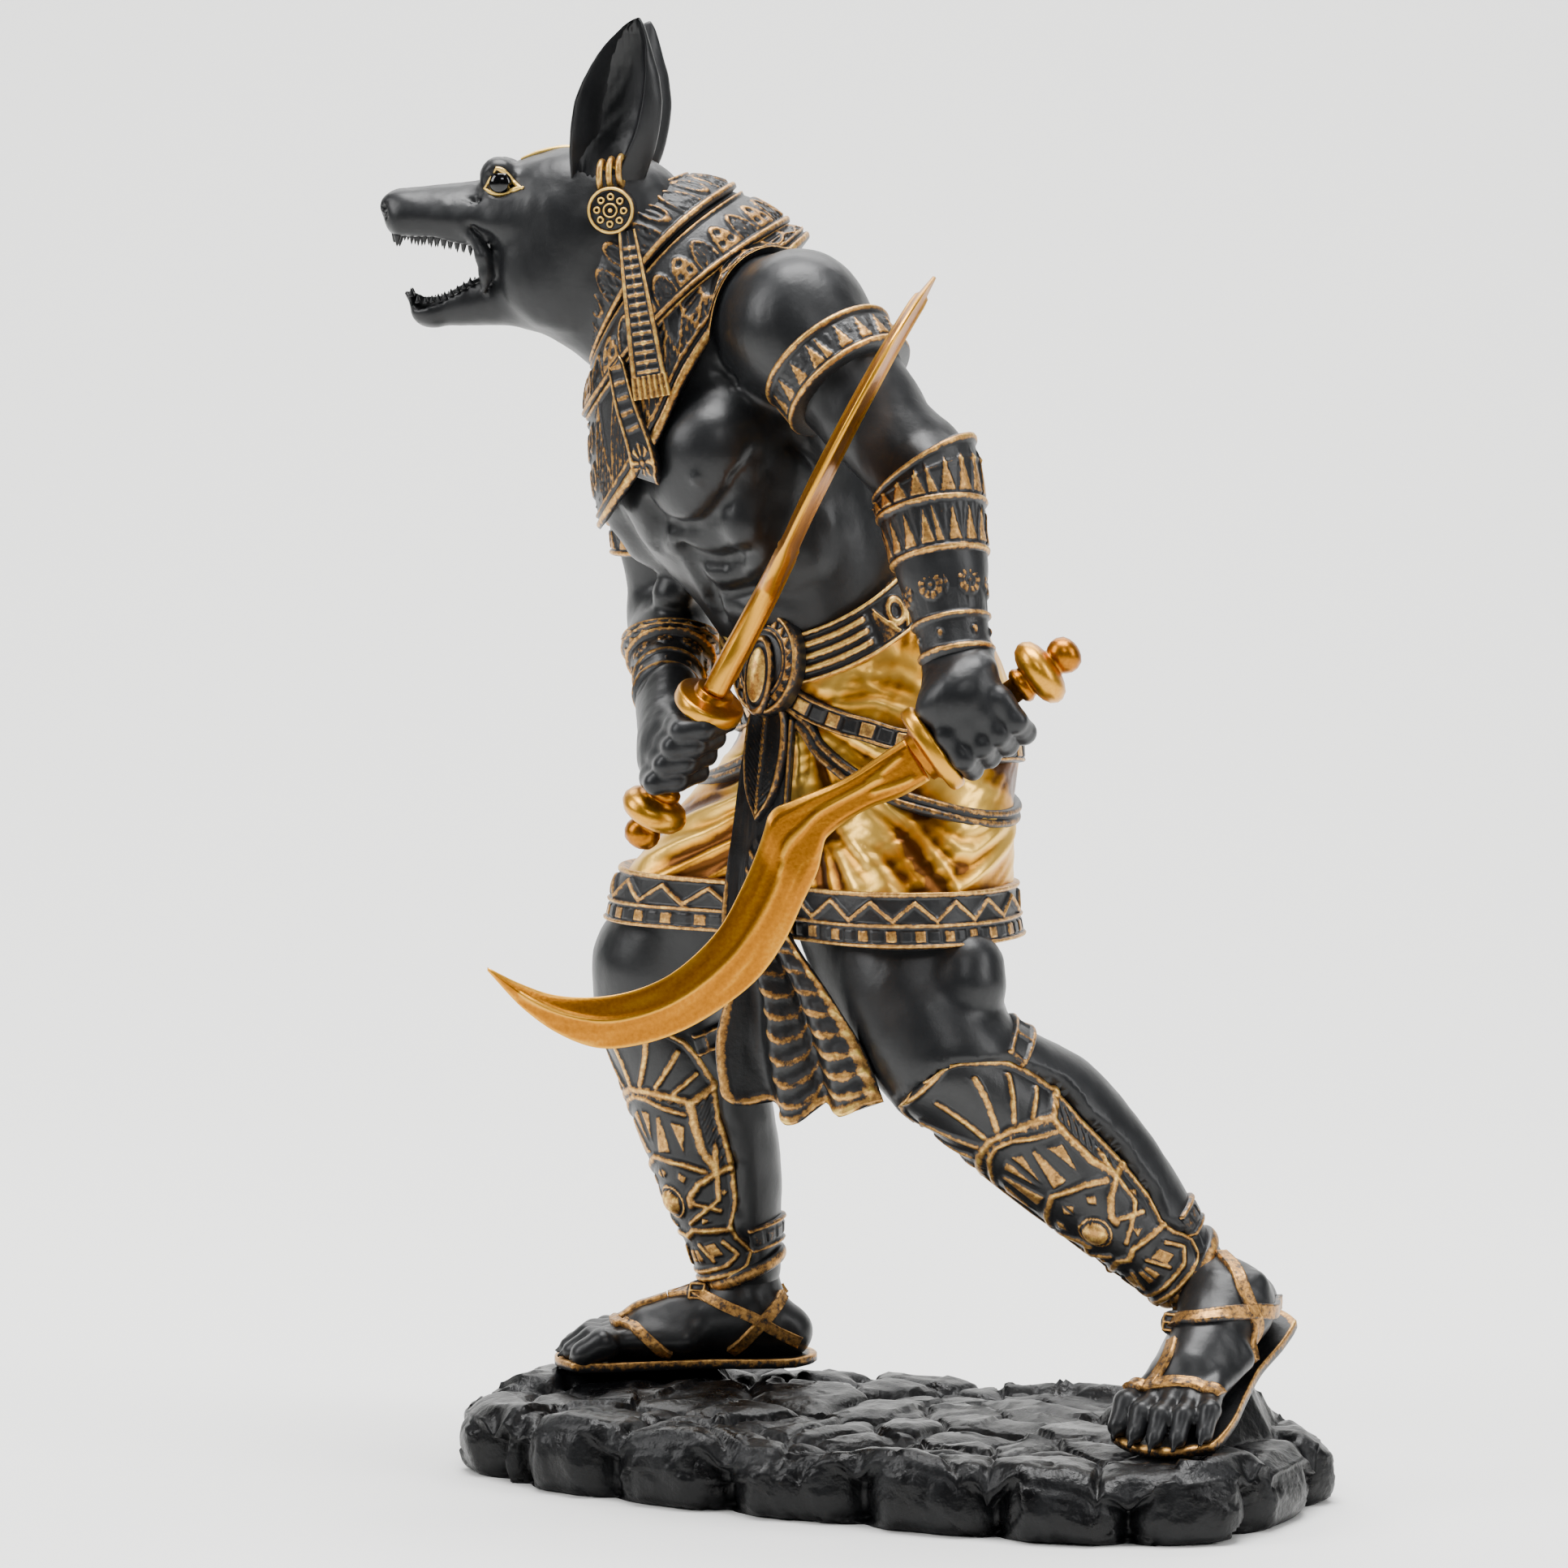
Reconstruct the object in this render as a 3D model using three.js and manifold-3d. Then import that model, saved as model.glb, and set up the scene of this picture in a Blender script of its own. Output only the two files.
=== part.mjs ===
// A cast resin statuette of Anubis: a jackal-headed warrior striding over a slab of rock with a curved
// khopesh in each fist. The rock, the figure and the two swords are separate castings.
// Millimetres, Z up. The figure strides towards -X and its left side faces -Y, the side of the viewer.
// The origin is on the ground, under the middle of the rock.
import * as THREE from "three";
import { mergeVertices } from "three/addons/utils/BufferGeometryUtils.js";
import Module from "manifold-3d";

const wasm = await Module();
wasm.setup();

// Driving dimensions.
const clearance = 0.3; // between pieces that touch
const rockLong = 88; // half-lengths of the rock's rounded outline
const rockShort = 43.5;
const rockTurn = -26.5; // degrees, the long way of the rock seen from above
const rockTop = 15;
const soleThick = 1.8;
const chestTurn = 35; // degrees that the chest, hips and head are turned from -X towards the viewer
const hipTurn = 50;
const headTurn = -4;
const gripRadius = 2.5;
const bladeThick = 3.2;

const at = (x, y, z) => new THREE.Vector3(x, y, z);

// Joints of the body.
const waist = at(-13, 20, 180);
const chest = at(-28, 20, 206);
const headCentre = at(-65.1, 14, 255.7);
const left = {
  hip: at(6, 12, 148),
  knee: at(12, -13, 87),
  ankle: at(59, -4, 45),
  heel: at(72, 3, 27.5),
  toe: at(52.5, -38, 17),
  shoulder: at(-17.7, -7, 233),
  elbow: at(7, -27, 201),
  wrist: at(12.6, -38, 168),
  guard: at(7.8, -42, 151.9),
  pommel: at(33.2, -42, 170),
};
const right = {
  hip: at(-12, 28, 148),
  knee: at(-46, 42, 90),
  ankle: at(-29, 45, 37),
  heel: at(-20, 45, 19),
  toe: at(-64, 45, 18.5),
  shoulder: at(-45.7, 46, 212),
  elbow: at(-43, 47, 171),
  wrist: at(-44, 12, 157.5),
  guard: at(-35.5, -8, 157.6),
  pommel: at(-49.3, 1, 130.3),
};

const resin = new THREE.MeshStandardMaterial({ color: 0x1b1c1f, roughness: 0.42, metalness: 0 });
const stone = new THREE.MeshStandardMaterial({ color: 0x222326, roughness: 0.5, metalness: 0 });
const gold = new THREE.MeshStandardMaterial({ color: 0xb9821c, roughness: 0.35, metalness: 1 });

// The compass of a body part turned by some degrees from -X towards the viewer: its front, its left and up.
function facing(degrees) {
  const turn = THREE.MathUtils.degToRad(degrees);
  return {
    front: at(-Math.cos(turn), -Math.sin(turn), 0),
    left: at(Math.sin(turn), -Math.cos(turn), 0),
    up: at(0, 0, 1),
  };
}

// A point given by how far it lies to the front, to the left and up of another.
function offset(from, way, front, toLeft, up) {
  return from
    .clone()
    .addScaledVector(way.front, front)
    .addScaledVector(way.left, toLeft)
    .addScaledVector(way.up, up);
}

// A mesh with only positions, its shared corners merged and its faces turned outwards.
function closed(geometry) {
  const bare = geometry.index ? geometry.clone() : mergeVertices(geometry);
  bare.deleteAttribute("normal");
  bare.deleteAttribute("uv");
  const merged = mergeVertices(bare, 1e-4);
  const p = merged.attributes.position;
  const index = Array.from(merged.index.array);
  let volume = 0;
  for (let i = 0; i < index.length; i += 3) {
    const [a, b, c] = [0, 1, 2].map((k) => new THREE.Vector3().fromBufferAttribute(p, index[i + k]));
    volume += a.dot(b.cross(c));
  }
  if (volume < 0) index.reverse();
  merged.setIndex(index);
  return merged;
}

// The manifold solid of a closed mesh.
function solid(geometry) {
  const mesh = closed(geometry);
  return new wasm.Manifold(
    new wasm.Mesh({
      numProp: 3,
      vertProperties: new Float32Array(mesh.attributes.position.array),
      triVerts: new Uint32Array(mesh.index.array),
    }),
  );
}

const join = (solids) => solids.reduce((whole, next) => whole.add(next));

// The three.js geometry of a manifold solid.
function geometryOf(made) {
  const mesh = made.getMesh();
  const geometry = new THREE.BufferGeometry();
  geometry.setAttribute("position", new THREE.BufferAttribute(mesh.vertProperties, 3));
  geometry.setIndex(new THREE.BufferAttribute(mesh.triVerts, 1));
  geometry.computeVertexNormals();
  return geometry;
}

// A solid skinned over rings of points, with a flat cap at each end.
function skin(rings) {
  const around = rings[0].length;
  const middle = (ring) =>
    ring.reduce((sum, p) => sum.add(p), at(0, 0, 0)).divideScalar(ring.length);
  const points = [...rings.flat(), middle(rings[0]), middle(rings[rings.length - 1])];
  const index = [];
  for (let i = 0; i + 1 < rings.length; i++) {
    for (let j = 0; j < around; j++) {
      const k = (j + 1) % around;
      const [a, b, c, d] = [i * around + j, i * around + k, (i + 1) * around + k, (i + 1) * around + j];
      index.push(a, b, c, a, c, d);
    }
  }
  const last = (rings.length - 1) * around;
  for (let j = 0; j < around; j++) {
    const k = (j + 1) % around;
    index.push(points.length - 2, k, j, points.length - 1, last + j, last + k);
  }
  const geometry = new THREE.BufferGeometry();
  geometry.setAttribute(
    "position",
    new THREE.Float32BufferAttribute(points.flatMap((p) => [p.x, p.y, p.z]), 3),
  );
  geometry.setIndex(index);
  return solid(geometry);
}

// A ring of points round a centre: wide along one direction and deep along the other.
function ring(centre, wideWay, deepWay, wide, deep, sides, square = 2) {
  return Array.from({ length: sides }, (_, j) => {
    const angle = (2 * Math.PI * j) / sides;
    const [c, s] = [Math.cos(angle), Math.sin(angle)];
    const round = (v) => Math.sign(v) * Math.abs(v) ** (2 / square);
    return centre
      .clone()
      .addScaledVector(wideWay, wide * round(c))
      .addScaledVector(deepWay, deep * round(s));
  });
}

// A limb through stations [centre, half-width, half-depth], square to its own smooth centre line.
// The depth runs along the given front, and each span between stations has a few steps.
function limb(stations, front, { sides = 10, steps = 1, square = 2 } = {}) {
  const line = new THREE.CatmullRomCurve3(stations.map(([p]) => p));
  const size = new THREE.CatmullRomCurve3(stations.map(([, wide, deep]) => at(wide, deep ?? wide, 0)));
  const count = (stations.length - 1) * steps;
  const rings = Array.from({ length: count + 1 }, (_, i) => {
    const along = line.getTangent(i / count);
    const deepWay = front.clone().addScaledVector(along, -front.dot(along)).normalize();
    const wideWay = along.clone().cross(deepWay);
    const { x: wide, y: deep } = size.getPoint(i / count);
    return ring(line.getPoint(i / count), wideWay, deepWay, wide, deep, sides, square);
  });
  return skin(rings);
}

// An ellipsoid whose half-lengths run along a body part's front, left and up.
function ball(centre, way, front, toLeft, up, sides = 12) {
  const geometry = new THREE.SphereGeometry(1, sides, Math.round(sides * 0.6));
  const basis = new THREE.Matrix4().makeBasis(
    way.front.clone().multiplyScalar(front),
    way.up.clone().multiplyScalar(up),
    way.left.clone().multiplyScalar(-toLeft),
  );
  geometry.applyMatrix4(basis.setPosition(centre));
  return solid(geometry);
}

const between = (a, b, share) => a.clone().lerp(b, share);

// A straight stretch of limb with bands round it, as pairs [share of its length, half-width].
function sleeve(from, to, profile, front, sides) {
  return limb(profile.map(([share, half]) => [between(from, to, share), half]), front, { sides });
}

// The rock: a rounded slab whose rim is split into blocks and whose top is laid in uneven flags.
// A mound under the left heel carries the raised sole.
const rimBlocks = 15;
const rimGroove = 0.035;
const rockSquare = 3;
const rockMiddle = 6; // how far behind the origin the slab's middle lies
const flagStep = 0.8;
const flagSize = 4.5;
const moundSlope = 1.3;

// Where a point of the ground lies along a foot, from 0 at the toe to 1 at the heel, how far it lies
// aside of the foot, and the height of the sole's underside there.
function underSole({ heel, toe }, x, y) {
  const run = at(heel.x - toe.x, heel.y - toe.y, 0);
  const along = ((x - toe.x) * run.x + (y - toe.y) * run.y) / run.lengthSq();
  const aside = Math.abs((x - toe.x) * run.y - (y - toe.y) * run.x) / run.length();
  const rise = (heel.z - toe.z) * THREE.MathUtils.clamp(along, -0.1, 1.1);
  return { along, aside, height: toe.z + rise - soleThick - clearance };
}

function rockHeight(x, y) {
  const flags = Math.sin((x + 0.4 * y) / flagSize) * Math.sin((y - 0.3 * x) / flagSize);
  let height = rockTop - 1.2 + flagStep * THREE.MathUtils.clamp(flags * 3, -1, 1);
  for (const foot of [left, right]) {
    const { along, aside, height: sole } = underSole(foot, x, y);
    const pastEnd = 60 * Math.max(0, along - 1.02, -along - 0.12);
    height = Math.max(height, sole - moundSlope * (Math.max(0, aside - 8) + pastEnd));
    if (aside < 15 && along > -0.25 && along < 1.25) height = Math.min(height, sole);
  }
  return height;
}

function makeRock() {
  const turn = THREE.MathUtils.degToRad(rockTurn);
  const angles = Array.from({ length: rimBlocks * 3 }, (_, j) => (2 * Math.PI * j) / (rimBlocks * 3));
  const bend = (v) => Math.sign(v) * Math.abs(v) ** (2 / rockSquare);
  const level = (share, height) =>
    angles.map((angle) => {
      const groove = 1 - rimGroove * Math.abs(Math.cos((rimBlocks * angle) / 2)) ** 8;
      const u = rockLong * groove * share * bend(Math.cos(angle));
      const v = rockShort * groove * share * bend(Math.sin(angle));
      const x = u * Math.cos(turn) - v * Math.sin(turn);
      const y = rockMiddle + u * Math.sin(turn) + v * Math.cos(turn);
      return at(x, y, height ?? rockHeight(x, y));
    });
  const rim = [level(0.975, 0), level(1, 3), level(0.995, 9)];
  const top = [0.94, 0.8, 0.62, 0.42, 0.16].map((share) => level(share));
  return skin([...rim, ...top]);
}

// The trunk, hunched forwards, from the hips to the hump between the shoulders.
const chestWay = facing(chestTurn);
const hipWay = facing(hipTurn);

function makeTrunk() {
  const trunk = limb(
    [
      [at(-4, 20, 146), 20, 17],
      [at(-10, 20, 166), 20, 19],
      [waist.clone().add(at(-3, 0, 0)), 20.5, 20],
      [at(-25, 20, 193), 25, 24],
      [chest.clone().add(at(-2.5, 0, 0)), 27.5, 24],
      [at(-32, 20, 220), 26, 21.5],
      [at(-30, 20, 234), 21, 18],
      [at(-29, 20, 246), 10, 10],
    ],
    facing((chestTurn + hipTurn) / 2).front,
    { sides: 12 },
  );
  const yoke = limb(
    [
      [left.shoulder, 12, 13],
      [at(-27, 8, 231), 13.5, 15],
      [at(-39, 32, 225), 13.5, 15],
      [right.shoulder, 12, 13],
    ],
    at(0, 0, 1),
  );
  const pecs = [1, -1].map((side) =>
    ball(offset(chest, chestWay, 15.6, side * 11.4, -3), chestWay, 9, 13, 11, 8),
  );
  const belly = [0, 1].flatMap((row) =>
    [1, -1].map((side) =>
      ball(offset(waist, chestWay, 20.8 - row * 0.6, side * 5, 9 - row * 9), chestWay, 4, 5, 5, 5),
    ),
  );
  return join([trunk, yoke, ...pecs, ...belly]);
}

// The jackal's head, with its jaws wide open, its ears upright and a long neck.
const headWay = facing(headTurn);
const inHead = (ahead, toLeft, up) => offset(headCentre, headWay, ahead, toLeft, up);

function makeEar(side) {
  const foot = inHead(-8, side * 9, 4);
  const tip = inHead(-17.5, side * 12, 36.5);
  const outer = limb(
    [
      [foot, 9, 5],
      [between(foot, tip, 0.32), 8.9, 4.2],
      [between(foot, tip, 0.66), 6.6, 3],
      [between(foot, tip, 0.88), 3.2, 1.8],
      [tip, 0.7, 0.7],
    ],
    headWay.left,
    { sides: 8 },
  );
  const bowl = offset(between(foot, tip, 0.5), headWay, 0.5, side * 4.6, 1);
  return outer.subtract(ball(bowl, headWay, 5, 3.6, 14, 8));
}

function makeTeeth() {
  const rows = [
    { start: [29, -7.2], end: [16.5, -8], point: -1, wide: 3.6 },
    { start: [27.5, -18.3], end: [17, -14.5], point: 1, wide: 3.2 },
  ];
  const count = 3;
  return rows.flatMap(({ start, end, point, wide }) =>
    [1, -1].flatMap((side) =>
      Array.from({ length: count }, (_, i) => {
        const share = i / (count - 1);
        const ahead = THREE.MathUtils.lerp(start[0], end[0], share);
        const up = THREE.MathUtils.lerp(start[1], end[1], share);
        const aside = side * wide * (0.72 + 0.4 * share);
        return limb(
          [[inHead(ahead, aside, up - point), 1, 0.9], [inHead(ahead, aside, up + 1.6 * point), 0.25, 0.25]],
          headWay.front,
          { sides: 3 },
        );
      }),
    ),
  );
}

function makeHead() {
  const skull = limb(
    [
      [inHead(-22, 0, -4), 10, 10],
      [inHead(-12, 0, -1.5), 13.5, 12],
      [inHead(0, 0, -1), 13, 12.2],
      [inHead(9, 0, -0.3), 10.5, 8.6],
      [inHead(15, 0, -2), 7.6, 6.3],
      [inHead(24, 0, -2), 5.6, 5.6],
      [inHead(32, 0, -2), 4.4, 4.4],
      [inHead(35.8, 0, -1.2), 2.6, 2.4],
    ],
    headWay.up,
    { sides: 10 },
  );
  const jaw = limb(
    [
      [inHead(-8, 0, -13), 10.5, 12],
      [inHead(4, 0, -16), 9, 9],
      [inHead(13, 0, -17.2), 6.2, 6],
      [inHead(20.5, 0, -20), 4.6, 3.6],
      [inHead(27, 0, -20.8), 4, 3.2],
      [inHead(30.6, 0, -18.4), 2.4, 2],
    ],
    headWay.up,
    { sides: 8 },
  );
  const brows = [1, -1].map((side) => ball(inHead(9.5, side * 6, 4.6), headWay, 4.6, 3.6, 3.6, 6));
  const nape = limb(
    [
      [at(-33, 19, 224), 20, 24],
      [at(-40, 17.5, 234), 18, 22],
      [at(-45, 17, 241.5), 16, 19],
      [at(-50, 16, 246), 14, 16.5],
      [at(-60, 14.5, 249), 12.5, 14],
    ],
    at(0.6, 0, 0.8),
  );
  return join([skull, jaw, nape, ...brows, makeEar(1), makeEar(-1), ...makeTeeth()]);
}

// The broad collar: three tiers round the neck, the lowest spread over the shoulders and the breast.
// Each tier's edge is a ring given by its highest point behind, its lowest in front and its half-width.
const collarEdges = [
  { back: at(-40.6, 17, 261), front: at(-57, 15, 230), half: 15.2 },
  { back: at(-31, 19, 257.8), front: at(-58, 15, 224.5), half: 18 },
  { back: at(-20.5, 21, 251), front: at(-59.3, 14, 214), half: 20.5 },
  { back: at(-16.5, 22, 247.5), front: at(-56.3, 14, 194), half: 22.5 },
];
const collarRise = 4; // how much further up the neck the sides of a tier lie than its back and front
const collarStep = 1.2;
const collarSides = 16;

function collarRing({ back, front, half }, grow) {
  const middle = between(front, back, 0.5);
  const reach = back.clone().sub(middle);
  const chord = reach.length();
  const upNeck = at(-reach.z, 0, reach.x).normalize();
  return Array.from({ length: collarSides }, (_, j) => {
    const angle = (2 * Math.PI * j) / collarSides;
    return middle
      .clone()
      .addScaledVector(reach, (Math.cos(angle) * (chord + grow)) / chord)
      .add(at(0, -(half + grow) * Math.sin(angle), 0))
      .addScaledVector(upNeck, collarRise * Math.sin(angle) ** 2);
  });
}

function makeCollar() {
  const lowest = collarEdges[collarEdges.length - 1];
  return skin([...collarEdges.flatMap((edge) => [collarRing(edge, collarStep), collarRing(edge, 0)]), collarRing(lowest, -4)]);
}

// Two ribbons that hang from a medallion below the left ear, and the same on the other side.
const ribbonThick = 1.6;

function makeRibbon(start, end, startWide, endWide, out) {
  const across = end.clone().sub(start).cross(out).normalize();
  const flat = out.clone().addScaledVector(across, -out.dot(across)).normalize();
  return limb([[start, startWide, ribbonThick], [end, endWide, ribbonThick]], flat, { sides: 4 });
}

function makePendants() {
  const near = at(0, -1, 0);
  const far = at(0, 1, 0);
  return [
    ball(inHead(-11.5, 13.6, -1.5), headWay, 4.8, 2.2, 4.8, 8),
    ball(inHead(-11.5, -13.6, -1.5), headWay, 4.8, 2.2, 4.8, 8),
    makeRibbon(at(-51.5, -0.5, 250), at(-46.4, -5.5, 217.5), 1.8, 4, near),
    makeRibbon(at(-53.4, 2.4, 238), at(-48.3, 3.5, 202), 2.4, 3.2, at(-0.6, -0.8, 0)),
    makeRibbon(at(-51.5, 31.5, 250), at(-46.4, 36, 220), 1.8, 4, far),
  ];
}

// The arms: the left hangs a little out from the body, the right reaches forwards across the hip.
// Each has a band below the shoulder and a long bracer on the forearm.
const upperArm = [[0, 13], [0.2, 13], [0.21, 14], [0.4, 13.6], [0.41, 12.6], [1, 9.6]];
const foreArm = [[0.05, 9.6], [0.06, 10.6], [0.41, 10.4], [0.42, 9.6], [0.78, 8.2], [0.79, 8.8], [1, 7.6]];

function makeArm({ shoulder, elbow, wrist }) {
  const out = chestWay.left;
  return join([
    ball(shoulder, chestWay, 14, 13.5, 14.5, 8),
    sleeve(shoulder, elbow, upperArm, out, 10),
    ball(elbow, chestWay, 9.6, 9.2, 9.6, 8),
    sleeve(elbow, wrist, foreArm, out, 8),
  ]);
}

// A fist closed round a grip: the back of the hand, four curled fingers and the thumb.
// Each finger runs from its knuckle, on the out side of the grip, round the grip to the palm.
const fingerPitch = 4;
const fingerRadius = 2.35;

function makeFist({ wrist, guard, pommel }, out, down) {
  const along = pommel.clone().sub(guard).normalize();
  const middle = guard.clone().addScaledVector(along, 9.8);
  const spread = (toPommel, outwards, downwards) =>
    middle
      .clone()
      .addScaledVector(along, toPommel)
      .addScaledVector(out, outwards)
      .addScaledVector(down, downwards);
  const hand = limb(
    [
      [wrist, 6.6, 5.4],
      [between(wrist, spread(0, 2.5, -5), 0.55), 7.6, 5.4],
      [spread(0, 2.6, -4), 8.4, 5.4],
      [spread(0, 3.4, 0.5), 7.6, 3.4],
    ],
    out,
    { sides: 8 },
  );
  const curl = [
    [4.6, 0],
    [4.6, 5.4],
    [-1.4, 7.4],
    [-5, 2],
  ];
  const fingers = [0, 1, 2, 3].map((finger) => {
    const place = (finger - 1.5) * fingerPitch;
    return limb(
      curl.map(([outwards, downwards]) => [spread(place, outwards, downwards), fingerRadius]),
      along,
      { sides: 4 },
    );
  });
  const thumb = limb(
    [[spread(-6, 0, -6), 2.8], [spread(-7, -5, -2), 2.6], [spread(-5, -6.5, 3), 2.1]],
    along,
    { sides: 6 },
  );
  return join([hand, thumb, ...fingers]);
}

// The legs: a bent thigh, a shin with a band below the knee and one above the ankle, and a greave in front.
const shinBands = [[0.04, 12.4], [0.05, 13.2], [0.12, 13.2], [0.13, 12.4]];
const ankleBands = [[0.86, 8.8], [0.87, 9.6], [0.97, 9]];

function makeLeg({ hip, knee, ankle }, front) {
  const upright = { front, left: at(0, -1, 0), up: at(0, 0, 1) };
  const shin = [
    [0, 11.6],
    ...shinBands,
    [0.32, 13.4],
    [0.6, 11.4],
    ...ankleBands,
  ].map(([share, half]) => [
    between(knee, ankle, share).addScaledVector(front, -3 * Math.sin(Math.PI * share) ** 2 * (1 - share)),
    half,
  ]);
  const greave = [
    [-0.02, 8, 7.5, 5.5],
    [0.08, 9.6, 9.5, 2.8],
    [0.32, 9.8, 10.2, 2.2],
    [0.62, 7.8, 9.2, 2.4],
    [0.94, 5.4, 6.4, 3.2],
  ].map(([share, wide, deep, ahead]) => [
    between(knee, ankle, share).addScaledVector(front, ahead),
    wide,
    deep,
  ]);
  return join([
    limb(
      [
        [hip, 14, 14],
        [between(hip, knee, 0.3).addScaledVector(front, 2.4), 14.8, 14.8],
        [between(hip, knee, 0.66).addScaledVector(front, 2.6), 14, 14],
        [between(hip, knee, 0.97), 11.6, 11.6],
        [between(hip, knee, 1.12), 6, 6],
      ],
      front,
      { sides: 8 },
    ),
    ball(knee, upright, 12.4, 12.4, 12.4, 8),
    limb(shin, front),
    limb(greave, front, { sides: 6 }),
  ]);
}

// A foot in a sandal: [share of the way from heel to toe, height, half-width, half-height].
const footShape = [
  [-0.08, 7, 5, 5.5],
  [0.06, 9.5, 7, 9],
  [0.24, 10.8, 7.2, 10.2],
  [0.62, 6, 8.8, 5.8],
  [0.86, 4, 9.6, 3.8],
];
const toeCount = 5;

function makeFoot({ heel, toe, ankle }) {
  const run = toe.clone().sub(heel);
  const aside = at(-run.y, run.x, 0).normalize();
  const up = run.clone().normalize().cross(aside).negate();
  if (up.z < 0) up.negate();
  const spot = (share, toSide, height) =>
    heel.clone().addScaledVector(run, share).addScaledVector(aside, toSide).addScaledVector(up, height);
  const body = limb(
    footShape.map(([share, height, wide, tall]) => [spot(share, 0, height), wide, tall]),
    up,
    { sides: 8 },
  );
  const toes = Array.from({ length: toeCount }, (_, i) => {
    const place = i - (toeCount - 1) / 2;
    const reach = 1.06 - 0.025 * place * place;
    return limb(
      [[spot(0.8, place * 4.2, 4), 2.6, 3], [spot(reach, place * 4.6, 1.8), 2, 2]],
      up,
      { sides: 4 },
    );
  });
  const sole = limb(
    [
      [spot(-0.07, 0, -soleThick / 2), 5, soleThick / 2],
      [spot(0, 0, -soleThick / 2), 8.4, soleThick / 2],
      [spot(0.4, 0, -soleThick / 2), 8.8, soleThick / 2],
      [spot(0.8, 0, -soleThick / 2), 11.6, soleThick / 2],
      [spot(1.08, 0, -soleThick / 2), 8.5, soleThick / 2],
    ],
    up,
    { sides: 8, square: 8 },
  );
  const shank = limb([[ankle, 8, 8.4], [spot(0.16, 0, 11), 7.4, 9]], run.clone().normalize(), { sides: 8 });
  return join([body, sole, shank, ...toes]);
}

// The kilt, wrapped round the hips under a belt and pulled in folds to the buckle, with a wide hem over
// both thighs. Each level has its centre, its half-width along the stride, its half-depth, how much the
// wrap falls towards the front, how far it is pulled in between the thighs, and how deep its folds are.
const kiltLevels = [
  { centre: at(-12.3, 20, 182), wide: 20, deep: 19, fall: 0.7, pinch: 0, fold: 0 },
  { centre: at(-12.1, 20, 181.8), wide: 22, deep: 21, fall: 0.7, pinch: 0, fold: 0 },
  { centre: at(-10, 20, 174.5), wide: 23.2, deep: 22.2, fall: 0.65, pinch: 0, fold: 0 },
  { centre: at(-9.6, 20, 174), wide: 22.4, deep: 21.2, fall: 0.65, pinch: 0, fold: 0.5 },
  { centre: at(-4, 20, 161), wide: 26.6, deep: 23.5, fall: 0.4, pinch: 0, fold: 0.9 },
  { centre: at(-3.6, 20, 146), wide: 31.5, deep: 24.4, fall: 0.2, pinch: 0.15, fold: 1.1 },
  { centre: at(-11, 17.8, 130), wide: 39.4, deep: 21.2, fall: 0.05, pinch: 0.45, fold: 1 },
  { centre: at(-15.4, 17, 120), wide: 44.4, deep: 18.8, fall: 0, pinch: 0.8, fold: 0.2 },
  { centre: at(-15.4, 17, 119.8), wide: 45.8, deep: 19.8, fall: 0, pinch: 0.8, fold: 0 },
  { centre: at(-16.2, 17, 110.5), wide: 47, deep: 19.2, fall: 0, pinch: 0.95, fold: 0 },
];
const kiltSides = 28;
const kiltFolds = 9;

function kiltRing({ centre, wide, deep, fall, pinch, fold }) {
  return Array.from({ length: kiltSides }, (_, j) => {
    const angle = (2 * Math.PI * j) / kiltSides;
    const [c, s] = [Math.cos(angle), Math.sin(angle)];
    const ripple = 1 + (fold * Math.sin(kiltFolds * angle + centre.z / 6)) / wide;
    const toFront = deep * s * (1 + 0.25 * pinch - 0.5 * pinch * s ** 4) * ripple;
    return offset(centre, hipWay, toFront, wide * c * ripple, -fall * toFront);
  });
}

function makeKilt() {
  const buckle = offset(at(-10, 20, 178), hipWay, 20.5, 1, -14);
  return join([
    skin(kiltLevels.map(kiltRing)),
    ball(buckle, hipWay, 4, 8.6, 11, 10),
    ball(offset(buckle, hipWay, 3, 0, -1), hipWay, 2.6, 2.4, 6.5, 6),
  ]);
}

// The long cloth that hangs from the buckle between the thighs and swings out over the left one.
const clothThick = 2.2;
const clothFolds = 3;
const clothRows = [
  { left: at(-27, 7, 154), right: at(-18, 0.5, 154), wave: 0 },
  { left: at(-30, 4.5, 132), right: at(-19.5, -2, 132), wave: 0.6 },
  { left: at(-31.5, 2, 114), right: at(-20, -7, 114), wave: 1 },
  { left: at(-30.5, 0, 100), right: at(-11, -13, 101), wave: 1.6 },
  { left: at(-32.5, -1, 90), right: at(-5, -16, 92), wave: 2 },
  { left: at(-31, -2, 80), right: at(-1.5, -17, 84), wave: 2.2 },
];

function makeCloth() {
  const columns = 10;
  const rows = clothRows.map(({ left: from, right: to, wave }, row) => {
    const across = to.clone().sub(from);
    const normal = at(across.y, -across.x, 0).normalize();
    const edge = (thick, backwards) =>
      Array.from({ length: columns }, (_, i) => {
        const share = (backwards ? columns - 1 - i : i) / (columns - 1);
        const sway = wave * Math.sin(2 * Math.PI * clothFolds * share);
        const point = between(from, to, share).addScaledVector(normal, sway + thick);
        if (row === clothRows.length - 1) point.z -= 5.5 * Math.sin(Math.PI * share ** 0.8) + 0.6 * sway;
        return point;
      });
    return [...edge(clothThick / 2, false), ...edge(-clothThick / 2, true)];
  });
  return skin(rows);
}

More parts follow.
